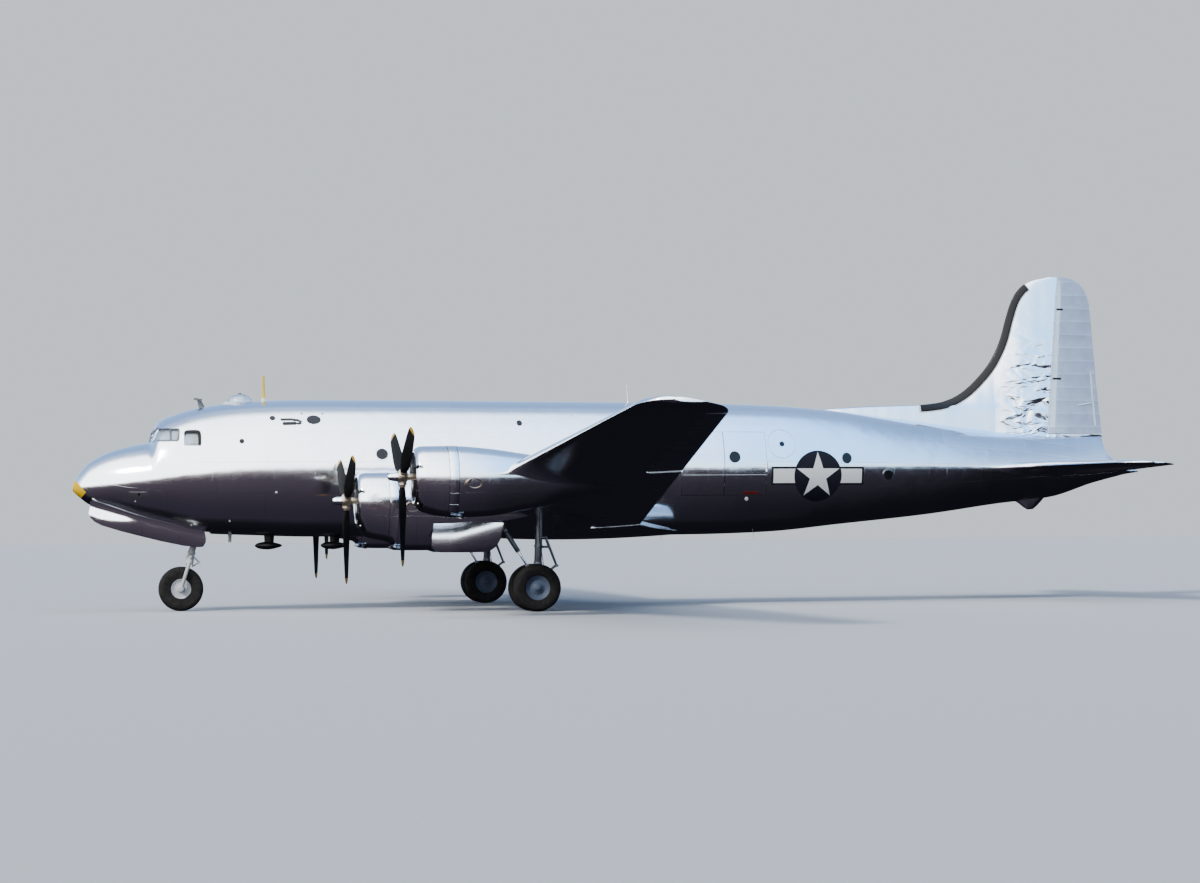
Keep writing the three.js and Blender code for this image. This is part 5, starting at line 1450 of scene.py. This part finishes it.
def prism(outline, y0, y1):
    """An outline drawn out sideways between two places, for cutting with"""
    bm = bmesh.new()
    face = bm.faces.new([bm.verts.new((NOSE_TIP + x, y0, z)) for x, z in outline])
    made = bmesh.ops.extrude_face_region(bm, geom=[face])["geom"]
    bmesh.ops.translate(bm, vec=(0, y1 - y0, 0), verts=[g for g in made if isinstance(g, bmesh.types.BMVert)])
    bmesh.ops.recalc_face_normals(bm, faces=bm.faces)
    return bm


def frame_shape(outline, outside, inside=0.0):
    """A flat ring that follows an outline, reaching out and in from it"""
    bm = bmesh.new()
    face = bm.faces.new([bm.verts.new((NOSE_TIP + x, 0, z)) for x, z in outline])
    if inside:
        bmesh.ops.inset_region(bm, faces=[face], thickness=inside, use_even_offset=True)
    edges = [e for e in bm.edges if e.is_boundary]
    middle = face.calc_center_median()
    grown = bmesh.ops.extrude_edge_only(bm, edges=edges)["geom"]
    for vert in [g for g in grown if isinstance(g, bmesh.types.BMVert)]:
        away = vert.co - middle
        vert.co += Vector((math.copysign(outside, away.x), 0, math.copysign(outside, away.z))) * 0.9
    bmesh.ops.delete(bm, geom=[face], context="FACES")
    bmesh.ops.subdivide_edges(bm, edges=[e for e in bm.edges if e.calc_length() > 0.06], cuts=4,
                              use_grid_fill=True)
    return bm


# Rain hood over the side window: outer and inner edge
HOOD = [
    ((2.700, 4.40), (2.722, 4.39)), ((2.712, 4.47), (2.745, 4.435)), ((2.76, 4.505), (2.785, 4.44)),
    ((2.86, 4.515), (2.87, 4.443)), ((2.96, 4.515), (2.95, 4.443)), ((3.05, 4.508), (3.0, 4.437)),
    ((3.105, 4.475), (3.03, 4.41)), ((3.12, 4.41), (3.042, 4.37)), ((3.122, 4.30), (3.045, 4.28)),
    ((3.12, 4.20), (3.045, 4.19)), ((3.108, 4.125), (3.04, 4.12)),
]


def ribbon(pairs):
    """A flat strip between two edges, in eight lanes so that it can bend"""
    bm = bmesh.new()
    lanes = [[bm.verts.new((NOSE_TIP + a[0] + (b[0] - a[0]) * t, 0, a[1] + (b[1] - a[1]) * t))
              for a, b in pairs] for t in (0, 0.25, 0.5, 0.75, 1)]
    for one, other in zip(lanes, lanes[1:]):
        edges = [bm.edges.get(p) or bm.edges.new(p) for lane in (one, other) for p in zip(lane, lane[1:])]
        bmesh.ops.bridge_loops(bm, edges=edges)
    return bm


def clear_pane(name, tint, rough):
    """Clear glass or plastic with a faint cloudiness"""
    material = painted(name, tint, rough=rough, grain=0.02, bump=0.00002, scale=6)
    shader = material.node_tree.nodes["Principled BSDF"]
    shader.inputs["Transmission Weight"].default_value = 0.9
    shader.inputs["IOR"].default_value = 1.8
    return material


pane_glass = clear_pane("cockpit_clear_glass", (0.86, 0.92, 0.94), 0.13)
seal_black = painted("window_seal_rubber", (0.014, 0.014, 0.015), rough=0.5)
frame_grey = painted("window_frame_grey", (0.10, 0.115, 0.14), rough=0.3, metallic=0.5)
nose = body_parts["fuselage_nose"]
for s in (-1, 1):
    for outline in (CORNER_PANE, NARROW_PANE, SIDE_WINDOW):
        cut(nose, prism(outline, s * 0.66, s * 1.9))
    x0, x1, y0, y1, z0, z1 = WINDSCREEN
    cut(nose, brick(at(x0, min(s * y0, s * y1), z0), at(x1, max(s * y0, s * y1), z1)))
glass = skin_over([body_ring(x, 0.021) for x in spread(1.70, 3.18, 0.06)], ends=False)
for point, normal in ((at(0, 0, 4.10), (0, 0, -1)), (at(0, 0, 4.64), (0, 0, 1))):
    bmesh.ops.bisect_plane(glass, geom=glass.verts[:] + glass.edges[:] + glass.faces[:], plane_co=point,
                           plane_no=normal, clear_outer=True)
give_wall(make_piece("cockpit_glazing", glass, pane_glass, slot="clear_panel", nodes=["cockpit_glazing"]),
          PLATE)
for word, s in SIDES:
    frames = [lay_on_body(frame_shape(outline, 0.035), s, 0.003) for outline in (CORNER_PANE, NARROW_PANE)]
    seals = [lay_on_body(frame_shape(outline, 0.004, 0.034), s, 0.004)
             for outline in (CORNER_PANE, NARROW_PANE)]
    seals.append(lay_on_body(frame_shape(SIDE_WINDOW, 0.006, 0.014), s, 0.005))
    seals.append(lay_on_body(ribbon(HOOD), s, 0.012))
    for kind, shapes, material, slot in (("frames", frames, frame_grey, "polished_metal"),
                                         ("seals", seals, seal_black, "housing_black")):
        give_wall(make_piece(f"cockpit_{kind}_{word}", together(*shapes), material, slot=slot), 2 * PLATE, 0)

# Flight deck and hold floor: primed sheet and scuffed plywood planks, on the plain
# solids of the part
deck_green = painted("flight_deck_primer", (0.10, 0.13, 0.07), rough=0.6, grain=0.2, scale=12)
floor_wood = painted("hold_floor_plywood", (0.33, 0.22, 0.12), rough=0.6, grain=0.25, bump=0.001, scale=9)
for node, material in (("flight_deck", deck_green), ("cabin_floor", floor_wood)):
    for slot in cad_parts[node].material_slots:
        slot.material = material

# ---------------------------------------------------------------- Nose cap
# The tip is a blunt yellow-painted cap with a thin sensing rod. A static
# plate, lamps and small plugs sit low on the port side.
cap_yellow = painted("nose_cap_yellow", (1.0, 0.58, 0.0), rough=0.6, grain=0.04, scale=12)
lamp_glass = painted("lamp_glass_white", (0.88, 0.88, 0.86), rough=0.1, grain=0.03, coat=0.8)
tip = skin_over([body_ring(x, -0.003) for x in (0.012, 0.03, 0.06, 0.09, 0.13, 0.17, 0.21, 0.25, 0.29, 0.33)],
                ends=False)
for lean in (0.85, -0.85):
    bmesh.ops.bisect_plane(tip, geom=tip.verts[:] + tip.edges[:] + tip.faces[:], plane_co=at(0.33, 0, 2.99),
                           plane_no=(1, 0, lean), clear_outer=True)
give_wall(make_piece("nose_cap", tip, cap_yellow, slot="mast_yellow"), PLATE / 2)


def button(x, z, radius, side):
    """A small round lamp or plug that stands out of the skin"""
    y = body_side(x, z)
    return rod(at(x, side * (y - 0.03), z), at(x, side * (y + 0.02), z), radius, radius * 0.8, 20)


# Lamps and plugs: station, height, radius
PORT_LAMPS = [
    (4.95, 2.954, 0.03), (3.83, 2.25, 0.028), (2.90, 2.16, 0.026), (1.52, 2.75, 0.014), (5.62, 4.93, 0.04),
    (6.14, 4.93, 0.04), (12.515, 4.909, 0.028),
]
STARBOARD_LAMPS = [(4.95, 2.954, 0.03), (3.83, 2.25, 0.028), (5.62, 4.93, 0.04), (6.14, 4.93, 0.04)]
lamps = [button(*row, side) for side, rows in ((-1, PORT_LAMPS), (1, STARBOARD_LAMPS)) for row in rows]
make_piece("nose_lamps_left", together(*lamps), lamp_glass, slot="clear_panel")
make_piece("nose_sensing_rod", rod(at(0.02, 0, 2.985), at(-0.001, 0, 2.985), 0.010), window_ring)

# ---------------------------------------------------------------- Crown and belly fittings
# Along the top stand a navigator's plastic dome in a raised ring, an aerial mast
# and a small T-shaped pitot; two streamlined loop pods and a mast hang below.
aerial_black = painted("aerial_black", (0.016, 0.015, 0.016), rough=0.32, grain=0.1, coat=0.3, scale=12)
mast_grey = painted("mast_grey", (0.13, 0.14, 0.15), rough=0.4, grain=0.06, scale=14)
rail = [at(x, -body_side(x, z) - 0.03, z) for x, z in ((5.10, 4.79), (5.34, 4.795), (5.52, 4.77),
                                                       (5.60, 4.725), (5.57, 4.69), (5.50, 4.685))]
rail_rods = [rod(a, b, 0.017, segments=12) for a, b in zip(rail, rail[1:])]
rail_rods += [rod(p, p + Vector((0, 0.05, 0)), 0.020, segments=12) for p in (rail[0], rail[-1])]
make_piece("crew_rail", together(*rail_rods), mast_grey, slot="leg_paint")
# The slot is a near-black flat plate on the skin: painted shade in place of a real opening under the rail
slot_shape = lay_on_body(flat_shape([(5.12, 4.655), (5.14, 4.632), (5.46, 4.642), (5.487, 4.680),
                                     (5.465, 4.722), (5.14, 4.716)], 5), -1, 0.004)
give_wall(make_piece("crew_slot", slot_shape, aerial_black, slot="housing_black"), PLATE)
plastic_dome = clear_pane("dome_clear_plastic", (0.90, 0.92, 0.93), 0.15)
mast_yellow = painted("mast_yellow", (0.80, 0.56, 0.10), rough=0.4, grain=0.05, scale=14)
mast_white = painted("mast_white", (0.80, 0.80, 0.78), rough=0.35, grain=0.04, scale=14)
DOME = {"x": 4.15, "z": 5.262, "radius": 0.33, "rise": 0.215}
shape = [(DOME["radius"] * math.cos(a), DOME["rise"] * math.sin(a)) for a in spread(0, math.pi / 2, 0.12)]
dome = turned_shape([(z, r) for r, z in shape[:-1]] + [(DOME["rise"], 0.0)], 64)
put(dome, Matrix.Translation(at(DOME["x"], 0, DOME["z"])) @ Matrix.Rotation(radians(-90), 4, "Y"))
cut(body_parts["fuselage_nose"], rod(at(DOME["x"], 0, 5.0), at(DOME["x"], 0, 5.6), DOME["radius"] - 0.045,
                                     segments=64))
give_wall(make_piece("astrodome", dome, plastic_dome, slot="clear_panel", nodes=["astrodome"]), PLATE)


def crown_height(station):
    """Height of the skin's top on the middle line"""
    return min([p for p in body_ring(station) if p.z > 4.0], key=lambda p: abs(p.y)).z


collar = turned_shape([(-0.055, 0.40), (-0.02, 0.375), (0.012, 0.345), (0.022, 0.335), (0.016, 0.322),
                       (-0.055, 0.322)], 72, True)
put(collar, Matrix.Rotation(radians(-90), 4, "Y"))
for vert in collar.verts:
    vert.co = at(DOME["x"] + vert.co.x * 1.12, vert.co.y, vert.co.z + DOME["z"] - 0.45 * vert.co.y ** 2)
make_piece("astrodome_collar", collar, mast_white, slot="leg_paint")
make_piece("astrodome_vent", rod(at(4.15, 0, 5.47), at(4.15, 0, 5.497), 0.05, 0.035, 24), aerial_black,
           slot="housing_black")
LEAF = [(math.cos(a) * (1.0 if math.cos(a) < 0 else 1.25), math.sin(a)) for a in angles_round(20)]


def streamlined(x, low, high, long, wide, tip=(0.6, 0.6), lean=0.0):
    """A mast of leaf-shaped section between two heights, narrower at its tip"""
    rings = []
    for t in (0, 0.35, 0.7, 0.97, 1.0):
        half_long, half_wide = long / 2 * (1 + (tip[0] - 1) * t), wide / 2 * (1 + (tip[1] - 1) * t)
        rings.append([at(x + lean * t + c * half_long, s * half_wide, low + (high - low) * t) for c, s in LEAF])
    return skin_over(rings)


make_piece("aerial_mast", streamlined(4.74, 5.36, 5.938, 0.088, 0.044, (0.62, 0.55)), mast_yellow,
           slot="mast_yellow", nodes=["aerial_mast"])
foot = together(streamlined(4.74, 5.22, 5.365, 0.10, 0.055, (0.9, 0.9)),
                rod(at(4.74, 0, 5.24), at(4.74, 0, 5.285), 0.10, 0.075, 32))
make_piece("aerial_mast_foot", foot, mast_white, slot="leg_paint")
tee = [streamlined(3.20, crown_height(3.2) - 0.03, 5.33, 0.15, 0.05, (0.6, 0.8), -0.08),
       rod(at(3.08, -0.12, 5.335), at(3.08, 0.12, 5.335), 0.024, segments=18)]
tee += [rod(at(3.00, s * 0.12, 5.35), at(3.20, s * 0.12, 5.32), 0.02, segments=14) for s in (-1, 1)]
make_piece("pitot_mast", together(*tee), mast_grey, slot="leg_paint")
crown = crown_height(14.25)
# Thin rods, foot to tip: station, side place and height of each end, radii, segments
WHIPS = [
    (14.25, 0, crown - 0.02, 14.22, 0, 5.81, 0.020, 0.010, 12),
    (14.25, 0, crown - 0.02, 14.25, 0, crown + 0.05, 0.03, 0.02, 20),
    (15.03, -0.35, 1.90, 15.05, -0.35, 1.66, 0.007, 0.004, 10),
    (17.54, -0.25, 2.0, 17.57, -0.25, 1.72, 0.007, 0.004, 10),
    (25.12, 0, 8.42, 24.98, 0, 8.63, 0.010, 0.006, 12),
]
make_piece("whip_aerials", together(*[rod(at(*row[:3]), at(*row[3:6]), *row[6:]) for row in WHIPS]),
           mast_white, slot="leg_paint")
belly = [streamlined(3.89, 2.02, 1.72, 0.085, 0.036, (0.85, 0.8)),
         rod(at(3.89, 0, 2.02), at(3.89, 0, 1.90), 0.05, 0.035, 24)]
make_piece("belly_mast", together(*belly), mast_white, slot="leg_paint")
for name in ("loop_housing_front", "loop_housing_rear"):
    low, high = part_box(name)
    middle, half_long, half_wide = (low[0] + high[0]) / 2, (high[0] - low[0]) / 2, (high[1] - low[1]) / 2
    pod = []
    for t in spread(-1, 1, 0.08):
        girth = max(0.02, (1 - abs(t) ** 2.2)) ** 0.5 * (1.0 if t < 0 else 1 - 0.40 * t)
        pod.append([Vector((middle + t * half_long, half_wide * girth * math.cos(a),
                            low[2] + 0.105 + 0.102 * girth * math.sin(a)))
                    for a in angles_round(32)])
    post = streamlined(middle - NOSE_TIP, low[2] + 0.09, high[2] - 0.003, 0.20, 0.07, (1.15, 1.2))
    make_piece(name, together(skin_over(pod), post), aerial_black, slot="housing_black", nodes=[name])

# ---------------------------------------------------------------- Fin and rudder fittings
# An inflatable black rubber boot guards the front edge of the fin, with painted
# white borders. The rudder has a bright nose strip, hinge slots and a trim tab.
def fin_side(station, z):
    """Half thickness of the fin at a place on its side"""
    lead, rear = at_place(FIN, z)[0], hinge_x(z) - fin_half(z) * 0.2
    share = min(max((station - lead) / (rear - lead), 0.0), 1.0)
    return fin_half(z) * min(1.0, 1.9 * math.sqrt(share) - 0.9 * share)


def front_edge_strip(levels, reach, proud):
    """A strip round the fin's front edge; it reaches back by a width on both sides"""
    edge = [(at_place(FIN, z)[0], z) for z in levels]
    rings = []
    for k, (x, z) in enumerate(edge):
        (x0, z0), (x1, z1) = edge[max(k - 1, 0)], edge[min(k + 1, len(edge) - 1)]
        length = math.hypot(x1 - x0, z1 - z0)
        inward = ((z1 - z0) / length, -(x1 - x0) / length)
        outer, inner = [], []
        for share in (1.0, 0.85, 0.65, 0.45, 0.3, 0.18, 0.09, 0.035, 0.008, 0.0):
            d = reach * share
            px, pz = x + inward[0] * d, z + inward[1] * d
            half = fin_side(px, pz)
            lift = proud * (0.4 if share == 1.0 else 1.0)
            outer.append((px - inward[0] * lift * (1 - share) ** 4, half + lift,
                          pz - inward[1] * lift * (1 - share) ** 4))
            inner.append((px + inward[0] * 0.006, max(0.0, half - 0.006), pz + inward[1] * 0.006))
        ring = [at(a, -b, c) for a, b, c in outer] + [at(a, b, c) for a, b, c in outer[::-1]]
        ring += [at(a, b, c) for a, b, c in inner[:-1]] + [at(a, -b, c) for a, b, c in inner[-2::-1]]
        rings.append(ring)
    return skin_over(rings)


boot_rubber = painted("deicer_boot_rubber", (0.016, 0.014, 0.014), rough=0.34, grain=0.15, coat=0.25,
                      scale=20)
border_white = painted("boot_border_white", (0.84, 0.84, 0.82), rough=0.4, grain=0.03)
levels = [5.2575, 5.262, 5.28, 5.31, 5.347] + spread(5.347, 8.137, 0.09)[1:] + spread(8.137, 8.56, 0.06)[1:]
make_piece("fin_boot", front_edge_strip(levels, 0.185, 0.012), boot_rubber, slot="housing_black")
make_piece("fin_boot_border", front_edge_strip([5.2560] + levels + [8.575], 0.215, 0.005), border_white,
           slot="leg_paint")


def rudder_side(t, z):
    """A place on the rudder's port side, t from its hinge line to its rear edge"""
    trail = at_place(RUDDER, z)[0]
    half = fin_half(z)
    for (a, ha), (b, hb) in zip(RUDDER_TAPER, RUDDER_TAPER[1:]):
        if t <= b:
            return hinge_x(z) + (trail - hinge_x(z)) * t, half * (ha + (hb - ha) * (t - a) / (b - a))


def on_rudder(corners, side, proud, steps=8):
    """A thin plate on the rudder between two (share, height) edges, each a pair from top to bottom"""
    (t0a, t0b, za), (t1a, t1b, zb) = corners
    rings = []
    for k in range(steps + 1):
        z = za + (zb - za) * k / steps
        low, high = t0a + (t1a - t0a) * k / steps, t0b + (t1b - t0b) * k / steps
        places = [rudder_side(t, z) for t in spread(low, high, max((high - low) / 3, 1e-4))]
        rings.append([at(x, side * (y + proud), z) for x, y in places]
                     + [at(x, side * (y - 0.004), z) for x, y in places[::-1]])
    return skin_over(rings)


strip_white = painted("rudder_nose_bright_strip", (0.86, 0.87, 0.88), rough=0.25, grain=0.03, metallic=0.35)
nose_strip = [on_rudder([(0.005, 0.115, 8.66), (0.005, 0.095, 4.66)], s, 0.0035, 40) for s in (-1, 1)]
make_piece("rudder_nose_strip", together(*nose_strip), strip_white, "rudder", "silver_fabric")
# The hinge slots are black plates on the rudder: painted shade in place of real cut-outs
slots = [on_rudder([(0.0, 0.19, z + 0.028), (0.0, 0.19, z - 0.028)], s, 0.007, 2) for z in (7.887, 5.99)
         for s in (-1, 1)]
make_piece("rudder_hinge_slots", together(*slots), boot_rubber, "rudder", "housing_black")
tab = [on_rudder([(0.87, 0.905, 6.20), (0.87, 0.905, 4.72)], s, 0.005, 14) for s in (-1, 1)]
tab += [on_rudder([(0.90, 0.99, 6.215), (0.90, 0.99, 6.195)], s, 0.004, 2) for s in (-1, 1)]
tab += [rod(at(26.85, s * (rudder_side(0.62, 5.27)[1] + 0.02), 5.27),
            at(27.24, s * (rudder_side(0.88, 5.33)[1] + 0.03), 5.335), 0.012, 0.018, 14) for s in (-1, 1)]
tab += [rod(at(27.22, s * 0.01, 5.335), at(27.22, s * (rudder_side(0.87, 5.33)[1] + 0.05), 5.335), 0.014,
            segments=14) for s in (-1, 1)]
make_piece("rudder_trim_tab_fittings", together(*tab), strip_white, "rudder", "silver_fabric")

# Buckled skin near the rudder post: low rolls that break up the reflections
FOLD_HEIGHT = 48.0
folds = fin_metal.node_tree
axes = add_node(folds, "ShaderNodeSeparateXYZ",
                {0: add_node(folds, "ShaderNodeTexCoord").outputs["Object"]}).outputs
along, upward = math_of(folds, "MULTIPLY", axes["X"], 1.3), math_of(folds, "MULTIPLY", axes["Z"], 3.0)
squeezed = add_node(folds, "ShaderNodeCombineXYZ", {0: along, 1: axes["Y"], 2: upward}).outputs[0]
rolls = noise_of(folds, squeezed, 1.0, 2.0, 0.45, Distortion=0.8)
rear_share = ramp_of(folds, math_of(folds, "MULTIPLY_ADD", axes["X"], 0.5, -5.0),
                     grey_stops((0.05, 0), (0.45, 1), (0.92, 1), (1.0, 0.3)))
low_share = ramp_of(folds, math_of(folds, "MULTIPLY", axes["Z"], 0.1),
                    grey_stops((0.50, 1), (0.64, 0.7), (0.74, 0.04)))
port_share = ramp_of(folds, math_of(folds, "MULTIPLY_ADD", axes["Y"], 5.0, 0.5),
                     grey_stops((0.4, 1), (0.6, 0.2)))
amount = math_of(folds, "MULTIPLY", rear_share, math_of(folds, "MULTIPLY", low_share, port_share))
amount = math_of(folds, "MULTIPLY", amount, FOLD_HEIGHT)
bump_node = next(node for node in folds.nodes if node.type == "BUMP")
before = bump_node.inputs["Height"].links[0].from_socket
folds.links.new(math_of(folds, "ADD", before, math_of(folds, "MULTIPLY", rolls, amount)),
                bump_node.inputs["Height"])
